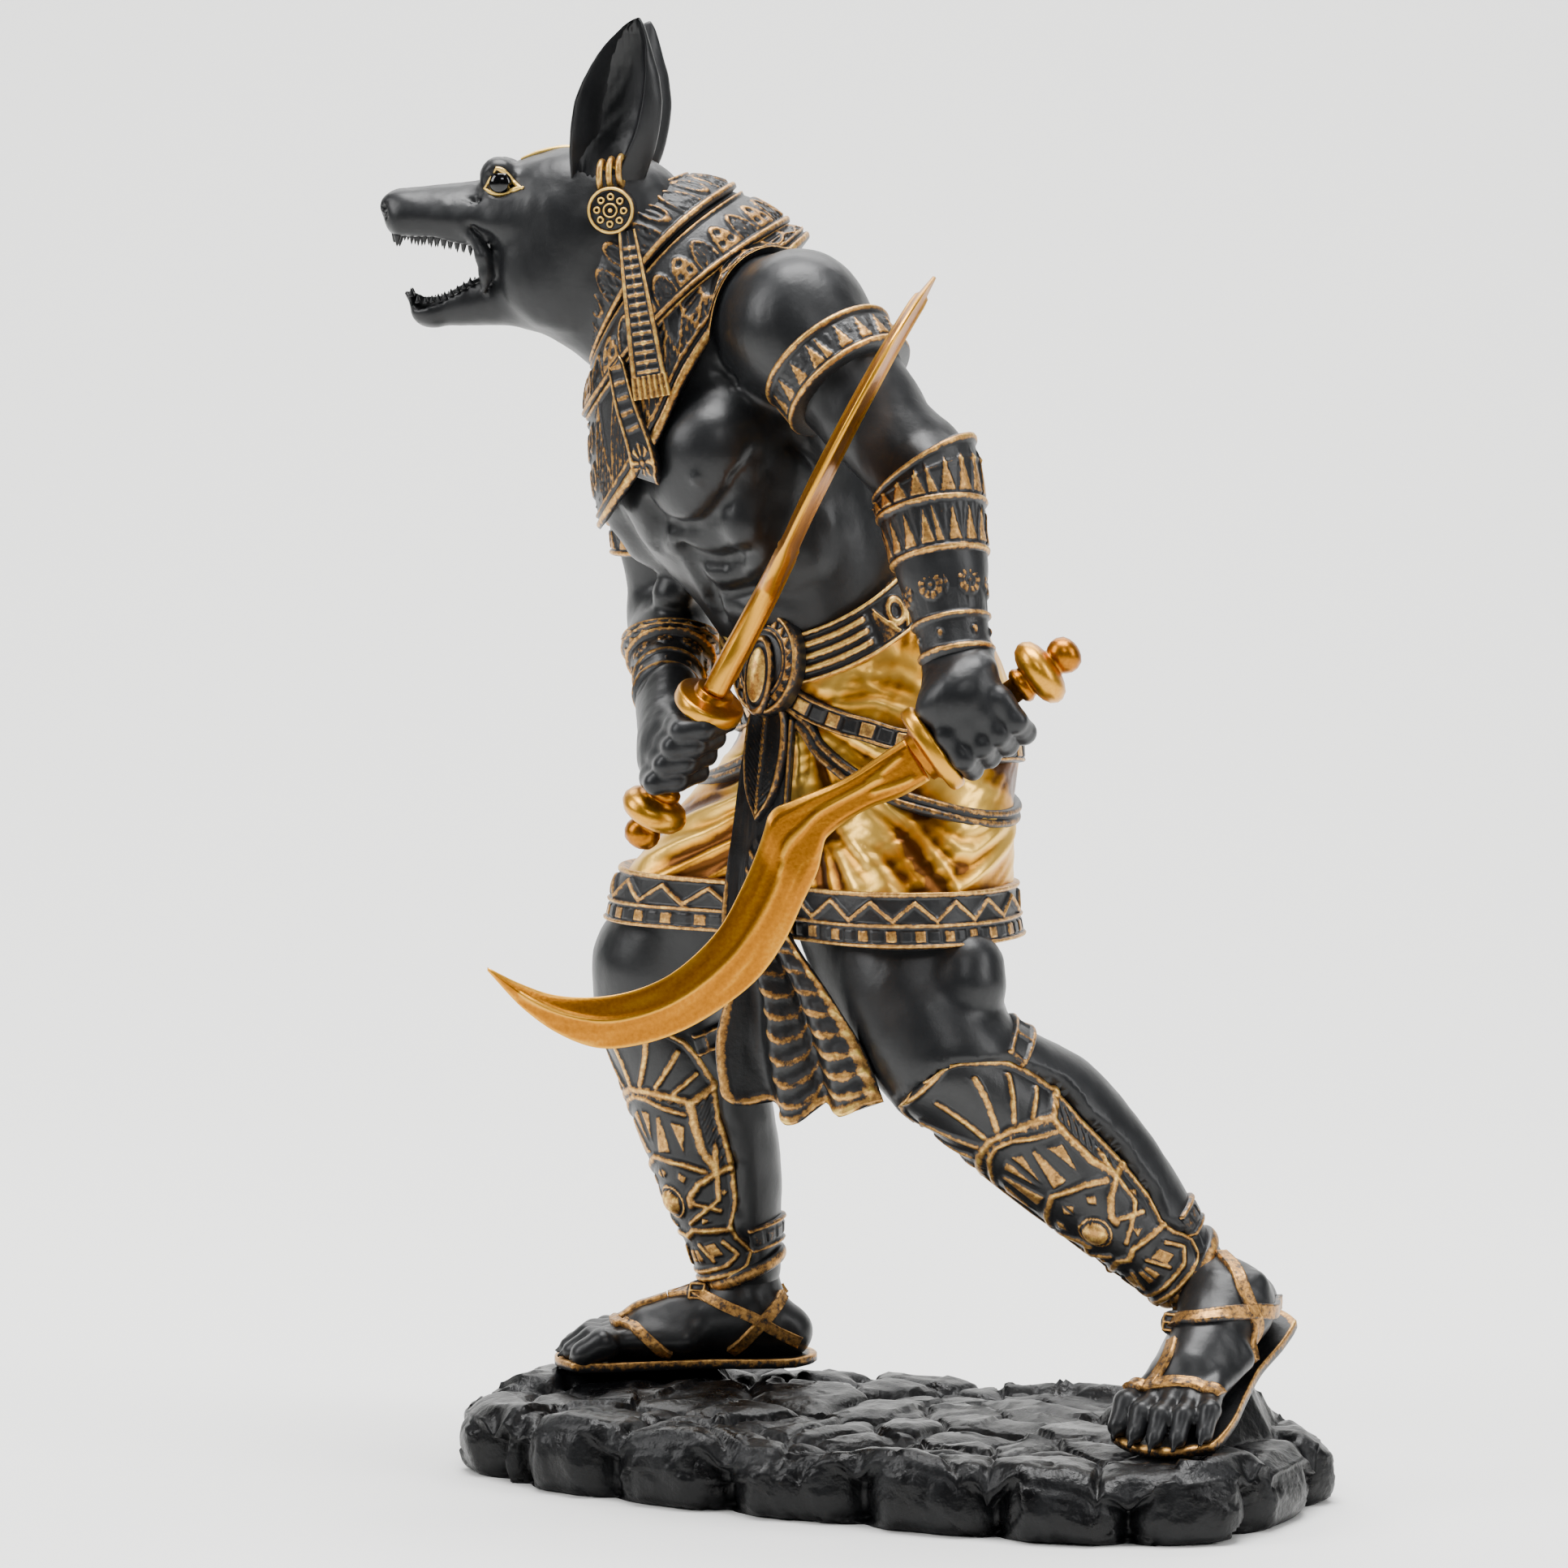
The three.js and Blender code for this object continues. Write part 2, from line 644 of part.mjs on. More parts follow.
// A khopesh: a straight neck, a sharp bend and a sickle, drawn on its own plane with the guard at the
// origin and the grip on the negative X axis, then stood along the grip with its flat side facing flatWay.
const neckHalf = 3.6;
const innerCorner = [33, 7.8];
const innerCurve = [[39.2, 3.2], [53, -4.3], [67.8, -6.1], [81.4, -0.9], [94, 15.4]];
const outerCurve = [[93.2, 4], [85.6, -10], [70.6, -16.5], [52.6, -16.6], [37.1, -9.5], [26.4, -2.1]];
const guardReach = { wide: 9, deep: 7, thick: 2 };
const gripBeads = [
  [gripRadius, 19.5],
  [3.3, 20.2],
  [3.1, 22.4],
  [6, 23.4],
  [6.7, 25],
  [5.6, 27],
  [3, 28],
  [3.4, 31],
  [0, 33.4],
];

function makeKhopesh({ guard, pommel }, bladeWay) {
  const outline = new THREE.Shape();
  outline.moveTo(0, neckHalf + 1);
  outline.lineTo(16, neckHalf + 1.4);
  outline.lineTo(...innerCorner);
  outline.splineThru(innerCurve.map((p) => new THREE.Vector2(...p)));
  outline.splineThru(outerCurve.map((p) => new THREE.Vector2(...p)));
  outline.lineTo(16, -neckHalf + 1);
  outline.lineTo(0, -neckHalf - 1);
  outline.closePath();
  const bevel = bladeThick / 2 - 0.5;
  const blade = new THREE.ExtrudeGeometry(outline, {
    depth: 1,
    bevelEnabled: true,
    bevelThickness: bevel,
    bevelSize: 0.8,
    bevelOffset: -0.8,
    bevelSegments: 1,
    curveSegments: 2,
  });
  blade.translate(0, 0, -0.5);
  const disc = new THREE.CylinderGeometry(1, 1, guardReach.thick, 12);
  disc.rotateZ(Math.PI / 2).scale(1, guardReach.wide, guardReach.deep);
  const profile = [[0, -1], [gripRadius, -1], ...gripBeads].map(([radius, along]) => new THREE.Vector2(radius, along));
  const grip = new THREE.LatheGeometry(profile, 8).rotateZ(Math.PI / 2);
  const along = guard.clone().sub(pommel).normalize();
  const toConcave = bladeWay.clone().addScaledVector(along, -bladeWay.dot(along)).normalize();
  const placed = new THREE.Matrix4()
    .makeBasis(along, toConcave, along.clone().cross(toConcave))
    .setPosition(guard);
  return join([blade, disc, grip].map((geometry) => solid(geometry.applyMatrix4(placed))));
}

// The space that a sword takes up in a fist: the bore round its grip, and the room of its guard and pommel.
function makeBore({ guard, pommel }) {
  const along = pommel.clone().sub(guard).normalize();
  const room = (from, to, radius) =>
    limb(
      [from, to].map((far) => [guard.clone().addScaledVector(along, far), radius + clearance]),
      at(0, 0, 1),
      { sides: 8 },
    );
  const guardFace = guardReach.thick / 2 + clearance;
  return join([
    room(-2, 24, gripRadius + 0.2),
    room(-guardFace, guardFace, guardReach.wide),
    room(19.2, 26, 6.7),
  ]);
}

const toViewer = at(0, -1, 0);
const leftDown = at(0.58, 0, -0.81);
const rightOut = at(-0.8, -0.55, -0.2).normalize();
const rightDown = at(0.25, -0.95, -0.1).normalize();
const leftShinFront = at(-0.5, -0.63, -0.59);
const rightShinFront = at(-0.95, -0.2, -0.25);

const swords = {
  left_khopesh: makeKhopesh(left, at(-0.6, 0, 0.8)),
  right_khopesh: makeKhopesh(right, at(0.1, 1, 0)),
};
const body = join([
  makeTrunk(),
  makeHead(),
  makeCollar(),
  ...makePendants(),
  makeArm(left),
  makeArm(right),
  makeFist(left, toViewer, leftDown),
  makeFist(right, rightOut, rightDown),
  makeLeg(left, leftShinFront),
  makeLeg(right, rightShinFront),
  makeFoot(left),
  makeFoot(right),
  makeKilt(),
  makeCloth(),
]);
const figure = [makeBore(left), makeBore(right)].reduce((whole, bore) => whole.subtract(bore), body);

const part = new THREE.Group();
const pieces = [
  ["rock_base", makeRock(), stone],
  ["figure", figure, resin],
  ["left_khopesh", swords.left_khopesh, gold],
  ["right_khopesh", swords.right_khopesh, gold],
];
for (const [name, made, material] of pieces) {
  const mesh = new THREE.Mesh(geometryOf(made), material);
  mesh.name = name;
  part.add(mesh);
}
export default part;
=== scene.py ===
import math
import bmesh
import bpy
import numpy as np
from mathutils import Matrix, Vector


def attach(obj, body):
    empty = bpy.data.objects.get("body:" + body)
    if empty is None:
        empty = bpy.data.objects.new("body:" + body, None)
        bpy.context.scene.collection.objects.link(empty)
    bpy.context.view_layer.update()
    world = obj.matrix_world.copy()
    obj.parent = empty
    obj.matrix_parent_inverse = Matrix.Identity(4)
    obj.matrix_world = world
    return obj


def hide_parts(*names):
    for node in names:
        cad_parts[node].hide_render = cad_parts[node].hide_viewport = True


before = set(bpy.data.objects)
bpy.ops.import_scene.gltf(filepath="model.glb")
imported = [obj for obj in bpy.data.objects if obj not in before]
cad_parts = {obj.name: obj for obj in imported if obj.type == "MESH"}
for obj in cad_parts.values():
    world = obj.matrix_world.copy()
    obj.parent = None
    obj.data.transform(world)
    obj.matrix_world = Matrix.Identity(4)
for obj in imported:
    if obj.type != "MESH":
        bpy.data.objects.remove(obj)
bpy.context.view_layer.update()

# The studio
# A sheet of pale grey paper that curves up behind the statuette, lit by large soft boxes.
# The camera stands 1.2 m in front, a little above the waist, as in the photograph.


def linear(code):
    """An sRGB hex colour as linear red, green and blue."""
    c = np.array([int(code[i:i + 2], 16) for i in (1, 3, 5)]) / 255
    return tuple(np.where(c <= 0.04045, c / 12.92, ((c + 0.055) / 1.055) ** 2.4)) + (1.0,)


def add(tree, kind, links=(), **settings):
    """One shader node of a kind, its settings, and links given as (own input, other node, other's output).
    A setting named in_X goes to input X, and stops are a ramp's places and colours, first to last."""
    node = tree.nodes.new("ShaderNode" + kind)
    for key, value in settings.items():
        if key == "stops":
            (start, dark), *between, (end, light) = value
            ends = node.color_ramp.elements
            ends[0].position, ends[0].color = start, linear(dark)
            ends[1].position, ends[1].color = end, linear(light)
            for place, code in between:
                ends.new(place).color = linear(code)
        elif key.startswith("in_"):
            name = key[3:]
            node.inputs[int(name) if name.isdigit() else name.replace("_", " ")].default_value = value
        else:
            setattr(node, key, value)
    for own, other, out in links:
        tree.links.new(other.outputs[out], node.inputs[own])
    return node


def finish_named(name, **values):
    """A material with a principled surface, the given values on its inputs, and its node tree."""
    made = bpy.data.materials.new(name)
    made.use_nodes = True
    surface = made.node_tree.nodes["Principled BSDF"]
    for key, value in values.items():
        surface.inputs[key.replace("_", " ")].default_value = value
    return made, made.node_tree, surface


def feed(tree, node, **sources):
    """Links to a node's inputs, each given as (other node, other's output)."""
    for own, (other, out) in sources.items():
        tree.links.new(other.outputs[out], node.inputs[own.replace("_", " ")])


def mesh_piece(name, points, faces, **shares):
    """A mesh object from points in mm, faces, and one number per point for each named attribute."""
    mesh = bpy.data.meshes.new(name)
    mesh.from_pydata(np.asarray(points, float).reshape(-1, 3) / 1000, [],
                     faces if isinstance(faces, list) else np.asarray(faces).tolist())
    for key, values in shares.items():
        layer = mesh.attributes.new(key, "FLOAT", "POINT")
        layer.data.foreach_set("value", np.asarray(values, np.float32).ravel())
    mesh.polygons.foreach_set("use_smooth", np.ones(len(mesh.polygons), bool))
    mesh.update()
    piece = bpy.data.objects.new(name, mesh)
    bpy.context.scene.collection.objects.link(piece)
    return piece


def weave(rows, columns, wrap_rows=False, wrap_columns=False):
    """The four corners of every face of a grid of points numbered row by row."""
    i = np.arange(rows if wrap_rows else rows - 1)
    j = np.arange(columns if wrap_columns else columns - 1)
    i, j = np.meshgrid(i, j, indexing="ij")
    k, m = (i + 1) % rows, (j + 1) % columns
    return np.stack([i * columns + j, i * columns + m, k * columns + m, k * columns + j], -1).reshape(-1, 4)


def capped(value):
    """The value held between 0 and 1."""
    return np.clip(value, 0, 1)


def sweep_paper(across, along):
    """Flat to 0.5 m behind the statuette, then a quarter circle of 0.6 m radius, then straight up."""
    flat, radius = 500, 600
    quarter = radius * np.pi / 2
    bend = capped((along - flat) / quarter) * np.pi / 2
    rest = np.maximum(along - flat - quarter, 0)
    y = np.minimum(along, flat) + radius * np.sin(bend)
    return np.stack([across, y, radius * (1 - np.cos(bend)) + rest], -1)


u, v = np.meshgrid(np.linspace(-3000, 3000, 3), np.linspace(-2500, 3500, 90))
backdrop = mesh_piece("backdrop", sweep_paper(u, v), weave(90, 3))
paper, tree, surface = finish_named("pale_grey_backdrop_paper", Base_Color=linear("#eeeeec"), Roughness=0.85,
                                    Specular_IOR_Level=0.1)
# Seen from behind the paper is clear, so that the statuette can be looked at from all sides.
facing = add(tree, "NewGeometry")
clear = add(tree, "BsdfTransparent")
one_sided = add(tree, "MixShader", [(0, facing, "Backfacing"), (1, surface, "BSDF"), (2, clear, "BSDF")])
feed(tree, tree.nodes["Material Output"], Surface=(one_sided, "Shader"))
backdrop.data.materials.append(paper)


def aim(thing, at_point, to_point):
    """Stands a camera or lamp at a point in metres, looking at another."""
    thing.location = at_point
    thing.rotation_euler = (Vector(to_point) - Vector(at_point)).to_track_quat("-Z", "Y").to_euler()


def softbox(name, at_point, wide, high, watts):
    """A soft box of the given size in metres, turned to the statuette."""
    lamp = bpy.data.lights.new(name, "AREA")
    lamp.shape, lamp.size, lamp.size_y, lamp.energy = "RECTANGLE", wide, high, watts
    lamp_object = bpy.data.objects.new(name, lamp)
    bpy.context.scene.collection.objects.link(lamp_object)
    aim(lamp_object, at_point, (0, 0, 0.15))


softbox("softbox_left", (-1.2, -0.3, 0.9), 0.5, 0.9, 14)
softbox("softbox_right", (1.1, -0.5, 0.7), 0.35, 0.9, 9)
softbox("softbox_top", (0.0, 0.0, 1.4), 1.0, 0.6, 44)
softbox("softbox_front", (0.15, -1.4, 1.2), 0.5, 0.3, 5)
softbox("softbox_behind", (0.0, 1.0, 1.3), 1.6, 0.4, 18)
world = bpy.data.worlds.new("studio_air")
world.use_nodes = True
air = world.node_tree.nodes["Background"]
air.inputs["Color"].default_value = linear("#eef0f2")
air.inputs["Strength"].default_value = 0.08
bpy.context.scene.world = world

camera = bpy.data.objects.new("camera", bpy.data.cameras.new("camera"))
bpy.context.scene.collection.objects.link(camera)
bpy.context.scene.camera = camera
camera.data.sensor_width = 36
camera.data.lens = 144.7
aim(camera, (-0.0207, -1.242, 0.254), (-0.0207, -0.042, 0.145))

# The rock base
# One casting of an oval slab of split stones: a rim of rough blocks and a top of flat, broken flags.
# Resin painted charcoal, almost matt, with grey where the light catches its edges.


def hashed(i, seed):
    """A number from 0 to 1 for each lattice point, always the same for the same seed."""
    h = i[..., 0] * 73856093 ^ i[..., 1] * 19349663 ^ i[..., 2] * 83492791
    h = (h ^ (seed * 2654435761)) & 0xFFFFFF
    return ((h * 1103515245 + 12345) & 0xFFFFFF) / 0xFFFFFF


def grain(points, size, seed=0):
    """Smooth value noise from 0 to 1: hashed numbers on a lattice of the given size, blended between."""
    q = np.asarray(points, float) / size + 1000
    i = np.floor(q).astype(np.int64)
    f = q - i
    f = f * f * (3 - 2 * f)
    total = 0
    for corner in np.ndindex(2, 2, 2):
        weight = np.where(corner, f, 1 - f).prod(-1)
        total = total + weight * hashed(i + corner, seed)
    return total


def facets(points, size, seed):
    """Flat chips: each point takes the tilt of the nearest of the scattered chips, about -1 to 1."""
    q = np.asarray(points, float) / size + 500
    cell = np.floor(q).astype(np.int64)
    best = np.full(q.shape[:-1], 9.0)
    height = np.zeros(q.shape[:-1])
    for near in np.ndindex(3, 3, 3):
        i = cell + near - 1
        off = i + np.stack([hashed(i, seed + k) for k in (1, 2, 3)], -1) - q
        tilt = 2 * (off * (np.stack([hashed(i, seed + k) for k in (4, 5, 6)], -1) - 0.5)).sum(-1)
        gap = (off ** 2).sum(-1)
        height = np.where(gap < best, tilt, height)
        best = np.minimum(gap, best)
    return height


def step(low, high, value):
    """0 below low, 1 above high, a smooth S between."""
    t = capped((value - low) / (high - low))
    return t * t * (3 - 2 * t)


slab_long, slab_short, slab_square, slab_turn = 87.4, 43.6, 3.3, math.radians(-26.5)
slab_middle = np.array([0, 6.0])
rim_joints = np.array([
    (-79, 6), (-74, 1), (-56, -14), (-33, -26), (-7, -39), (19, -51), (45, -57), (69, -48), (83, -22), (81, 8),
    (60, 20), (38, 30), (20, 48), (-4, 50), (-29, 57), (-54, 56), (-75, 46), (-88, 25)])
soles = {"left": dict(heel=np.array([74, 2, 34.0]), toe=np.array([52.5, -38, 17.0])),
         "right": dict(heel=np.array([-18, 45, 19.0]), toe=np.array([-64, 45, 18.5]))}
sole_thick = 1.8


def dressed(piece, material, node="figure"):
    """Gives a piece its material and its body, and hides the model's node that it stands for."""
    piece.data.materials.append(material)
    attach(piece, "root")
    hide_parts(node)
    return piece


def placed(start, *moves):
    """Points moved from the start by each (amount, way): a grid of amounts, and one way or a grid of them."""
    for amount, way in moves:
        start = start + amount[..., None] * way
    return start


def level_with(x, y):
    """Points on the ground plane from their x and y."""
    return np.stack([x, y, 0 * x], -1)


def slab_plan(s, t):
    """The square -1..1 drawn out to a rounded oblong, turned on the ground: x and y in mm."""
    reach = np.maximum(np.abs(s), np.abs(t))
    share = reach / np.maximum((np.abs(s) ** slab_square + np.abs(t) ** slab_square) ** (1 / slab_square), 1e-9)
    a, b = s * share * slab_long, t * share * slab_short
    return (a * math.cos(slab_turn) - b * math.sin(slab_turn) + slab_middle[0],
            a * math.sin(slab_turn) + b * math.cos(slab_turn) + slab_middle[1])


def ridged(p, size, seed):
    """Noise folded at its middle value, so that it meets in sharp broken edges: 0 to 1."""
    return 1 - np.abs(2 * grain(p, size, seed) - 1) ** 0.8


def flag_height(x, y):
    """Flags are the cells nearest to scattered points, each at its own height and tilt, split by cracks."""
    seeds = np.random.default_rng(7).uniform(-1, 1, (46, 2))
    sx, sy = slab_plan(seeds[:, 0] * 0.96, seeds[:, 1] * 0.92)
    flat = level_with(x, y)
    p = np.stack([x + 5 * grain(flat, 14, 1) + 1.4 * grain(flat, 4, 8), y + 5 * grain(flat, 14, 2)], -1)
    gap = np.hypot(p[..., :1] - sx - 2.5, p[..., 1:] - sy - 2.5)
    order = np.argsort(gap, -1)[..., :2]
    near, next_near = np.take_along_axis(gap, order, -1).transpose(2, 0, 1)
    pick = np.random.default_rng(11).uniform(-1, 1, (46, 3))[order[..., 0]]
    crack = 1 - step(0.15, 1.3, next_near - near)
    tilt = pick[..., 1] * (x - sx[order[..., 0]]) + pick[..., 2] * (y - sy[order[..., 0]])
    rough = 1.1 * facets(flat, 17, 3) + 0.5 * ridged(flat, 7, 4) + 0.25 * facets(flat, 4, 5) - 0.3
    dome = 1.0 * step(0, 7, next_near - near)
    return 13.7 + 0.9 * pick[..., 0] + 0.07 * tilt - 1.5 * crack + dome + rough


def under_soles(x, y, height):
    """Rock is heaped up under each sole and cut flat by it."""
    flat = level_with(x, y)
    mound = 1.6 * ridged(flat, 5, 6) + 0.8 * ridged(flat, 2.4, 9) - 1.2
    for sole in soles.values():
        run = (sole["toe"] - sole["heel"])[:2]
        length = np.hypot(*run)
        along = ((x - sole["heel"][0]) * run[0] + (y - sole["heel"][1]) * run[1]) / length ** 2
        aside = np.abs((x - sole["heel"][0]) * run[1] - (y - sole["heel"][1]) * run[0]) / length
        bed = sole["heel"][2] + (sole["toe"][2] - sole["heel"][2]) * np.clip(along, -0.1, 1.1) - sole_thick - 0.1
        past = np.maximum(45 * np.maximum(0, 0.36 - along), 60 * np.maximum(0, along - 1.08))
        height = np.maximum(height, bed - 2.0 * np.maximum(0, aside - 4.5) - past + mound - 1.2)
        on = (aside < 12) & (along > -0.16) & (along < 1.2)
        height = np.where(on, np.minimum(height, bed), height)
    return height


def rim_face(x, y, z):
    """Each block of the rim bulges between two joints, with broken facets and pits."""
    gap = np.sort(np.hypot(x[..., None] - rim_joints[:, 0], y[..., None] - rim_joints[:, 1]), -1)[..., 0]
    p = np.stack([x, y, z], -1)
    joint = np.exp(-((gap + 1.6 * (grain(p, 5, 21) - 0.5)) / 1.7) ** 2)
    chips = 1.6 * facets(p, 15, 22) + 0.45 * facets(p, 6, 23) + 0.4 * (ridged(p, 4, 24) - 0.6)
    return chips - 2.6 * joint + 3.8 * step(0, 8, gap) - 3.0


def slab():
    """The top is a grid over the oblong; the wall goes down from its rim in steps, bulging out and tucked in at
    the ground, and one face closes the underside."""
    columns, rows, steps = 196, 98, 20
    s, t = np.meshgrid(np.linspace(-1, 1, columns), np.linspace(-1, 1, rows))
    x, y = slab_plan(s, t)
    edge = np.maximum(np.abs(s), np.abs(t))
    inside = np.minimum((1 - np.abs(s)) * slab_long, (1 - np.abs(t)) * slab_short)
    gap = np.hypot(x[..., None] - rim_joints[:, 0], y[..., None] - rim_joints[:, 1]).min(-1)
    kerb = 10 + 5 * grain(level_with(x, y), 16, 31)
    kerb_crack = 1.8 * np.exp(-((inside - kerb) / 1.1) ** 2) + 3.0 * np.exp(-(gap / 2.4) ** 2) * step(14, 4, inside)
    z = under_soles(x, y, flag_height(x, y) - kerb_crack - 2.6 * step(0.93, 1.0, edge) ** 2)
    order = np.concatenate([np.arange(columns), columns * np.arange(2, rows + 1) - 1,
                            columns * rows - 2 - np.arange(columns - 1), columns * np.arange(rows - 2, 0, -1)])
    rim_x, rim_y, rim_z = x.ravel()[order], y.ravel()[order], z.ravel()[order]
    way = np.stack([np.roll(rim_y, -1) - np.roll(rim_y, 1), np.roll(rim_x, 1) - np.roll(rim_x, -1)], -1)
    way /= np.linalg.norm(way, axis=-1, keepdims=True)
    levels = np.linspace(0, 1, steps + 1)[1:, None]
    wall_z = rim_z * (1 - levels)
    bulge = 1.4 * np.sin(np.pi * capped(levels)) ** 0.7 - 1.0 * levels ** 6
    fade = np.minimum(1, levels * 6) * np.minimum(1, (1 - levels) * 8 + 0.45)
    out = rim_face(rim_x + 0 * levels, rim_y + 0 * levels, wall_z) * fade + bulge - 0.6
    wall = np.stack([rim_x + way[:, 0] * out, rim_y + way[:, 1] * out, wall_z], -1)
    top = np.stack([x, y, z], -1)
    points = np.concatenate([top.reshape(-1, 3), wall.reshape(-1, 3)])
    n = len(order)
    ring_of = np.concatenate([order[None], columns * rows + np.arange(steps * n).reshape(steps, n)])
    ring_next = np.roll(ring_of, -1, 1)
    walls = np.stack([ring_of[:-1], ring_of[1:], ring_next[1:], ring_next[:-1]], -1).reshape(-1, 4)
    faces = np.concatenate([weave(rows, columns), walls])
    faces = faces.tolist() + [ring_of[-1][::-1].tolist()]
    return points, faces


charcoal, tree, surface = finish_named("charcoal_paint_on_cast_resin_rock", Specular_IOR_Level=0.24)
# Charcoal acrylic, thin and uneven: a broken grey haze in random patches, near black between them.
place = add(tree, "TexCoord")
patches = add(tree, "TexNoise", [("Vector", place, "Object")], in_Scale=160.0, in_Detail=6.0)
shade = add(tree, "ValToRGB", [("Fac", patches, "Fac")], stops=[(0.36, "#040405"), (0.68, "#0f1012")])
gloss = add(tree, "MapRange", [("Value", patches, "Fac")], in_1=0.3, in_2=0.7, in_3=0.24, in_4=0.44)
grit = add(tree, "TexNoise", [("Vector", place, "Object")], in_Scale=900.0, in_Detail=5.0)
bump = add(tree, "Bump", [("Height", grit, "Fac")], in_Strength=0.35, in_Distance=0.0006)
feed(tree, surface, Base_Color=(shade, "Color"), Roughness=(gloss, "Result"), Normal=(bump, "Normal"))
dressed(mesh_piece("rock", *slab()), charcoal, "rock_base")

# The two swords
# Each khopesh is its own casting: an eight-sided neck, a sharp bend, a sickle with a ridge, a round guard
# and a beaded pommel. Resin under deep metallic gold paint, paler along its edges, with a painted highlight on
# the ridge, the fork lines and the pommel's beads.

sword_inner = np.array([
    (3.3, 4.6), (7, 4.7), (16.7, 5.0), (28, 7.4), (31.9, 8.1), (33.4, 7.6), (34.6, 6.6), (39.2, 3.2), (46, -0.9),
    (53, -4.3), (60, -5.9), (67.8, -6.1), (74.1, -4.6), (81.4, -0.9), (87, 3.8), (90.8, 9.2), (94, 15.2)])
sword_outer = np.array([
    (4, -4.6), (9.8, -4.1), (16.8, -2.3), (25.4, -2.0), (26.9, -2.3), (27.9, -3.1), (31.2, -6.1), (37.1, -9.5),
    (44.7, -13.8), (52.6, -16.6), (60.7, -17.3), (70.6, -16.5), (79.2, -13.8), (85.6, -10), (90.4, -3.1), (92.9, 4),
    (94.4, 14.6)])
swords = {"left_khopesh": (np.array([7.8, -42, 151.9]), np.array([33.2, -42, 170.0]), np.array([-0.6, 0, 0.8])),
          "right_khopesh": (np.array([-35.5, -8, 157.6]), np.array([-49.3, 1, 130.3]), np.array([0.1, 1, 0]))}


def unit(vector):
    """The vector, or each of many, at length 1."""
    return vector / np.linalg.norm(vector, axis=-1, keepdims=True)


def resample(points, count):
    """Evenly spaced points along a line, smoothed by a cubic through every point of it."""
    points = np.asarray(points, float)
    gap = np.concatenate([[0], np.cumsum(np.linalg.norm(np.diff(points, axis=0), axis=1))])
    return curve_through(gap, points, np.linspace(0, gap[-1], count))


def curve_through(knots, values, at):
    """A cubic Hermite curve through the values, its slope at each knot taken from the two neighbours."""
    values = np.asarray(values, float)
    slope = np.gradient(values, knots, axis=0)
    i = np.clip(np.searchsorted(knots, at, "right") - 1, 0, len(knots) - 2)
    width = knots[i + 1] - knots[i]
    t = (at - knots[i]) / width
    if values.ndim > 1:
        t, width = t[:, None], width[:, None]
    a, b, c, d = values[i], values[i + 1], slope[i] * width, slope[i + 1] * width
    return ((2 * t ** 3 - 3 * t ** 2 + 1) * a + (t ** 3 - 2 * t ** 2 + t) * c
            + (3 * t ** 2 - 2 * t ** 3) * b + (t ** 3 - t ** 2) * d)


def blade(guard, pommel, concave):
    """Rows run from the guard to the tip and columns once round: across one flat, over the edge, and back.
    The thickness is 1 at a ridge two thirds across, falls to a thin edge, and has a groove beside the ridge."""
    rows, half = 150, 30
    along = unit(guard - pommel)
    towards = unit(concave - along * (concave @ along))
    out = np.cross(along, towards)
    inner, outer = resample(sword_inner, rows), resample(sword_outer, rows)
    w = 0.5 - 0.5 * np.cos(np.linspace(0, np.pi, half))
    share = np.concatenate([w, w[::-1][1:-1]])
    side = np.concatenate([np.ones(half), -np.ones(half - 2)])
    side[0] = side[half - 1] = 0
    flat = inner[:, None] * (1 - share[:, None]) + outer[:, None] * share[:, None]
    r = np.linspace(0, 1, rows)[:, None]
    width = np.linalg.norm(inner - outer, axis=1)[:, None]
    thick = np.interp(r, [0, 0.28, 0.5, 0.9, 1], [2.3, 1.9, 1.7, 1.2, 0.4])
    ridge = np.interp(r, [0, 0.06, 0.3, 0.34, 1], [0.5, 0.42, 0.42, 0.5, 0.45])
    across = share[None, :]
    slope = np.where(across < ridge, across / ridge, (1 - across) / (1 - ridge))
    neck = 1 - step(0.3, 0.36, r)
    body = thick * ((1 - neck) * (0.22 + 0.78 * slope ** 0.75) + neck * np.minimum(1, 0.45 + 2.2 * slope))
    line = np.exp(-((across - ridge) * width / 0.42) ** 2) * (r < 0.93) * (r > 0.07)
    fork_gap = (np.abs(across - 0.5) - 0.26 + 1.8 * np.abs(r - 0.03)) * width
    fork = np.exp(-(fork_gap / 0.4) ** 2) * (r > 0.025) * (r < 0.1)
    body = body + 0.45 * line + 0.3 * fork
    edge = np.exp(-(np.minimum(across, 1 - across) * width / 0.5) ** 2)
    p = placed(guard, (flat[..., 0], along), (flat[..., 1], towards), (side * body, out))
    spots = np.stack(np.broadcast_arrays(across * width, r * 9, side[None] * 5.0), -1)
    # Its colour share: a painted highlight on the ridge and fork lines, paler edges, and random streaky tone.
    bright = capped(0.06 + 0.8 * line + 0.8 * fork + 0.7 * edge + 0.7 * (grain(spots, 0.9, 61) - 0.5))
    return p, bright


def turned(guard, pommel, profile, count=56, squash=(1, 1), around=None):
    """A profile of (radius, distance from the guard towards the pommel) turned about the grip."""
    along = unit(pommel - guard)
    side = unit(np.cross(along, around if around is not None else [0.3, 1, 0.2]))
    up = np.cross(side, along)
    a = np.linspace(0, 2 * np.pi, count, endpoint=False)
    ring = np.cos(a)[:, None] * side * squash[0] + np.sin(a)[:, None] * up * squash[1]
    return guard + profile[:, None, 1:] * along + profile[:, None, :1] * ring[None]


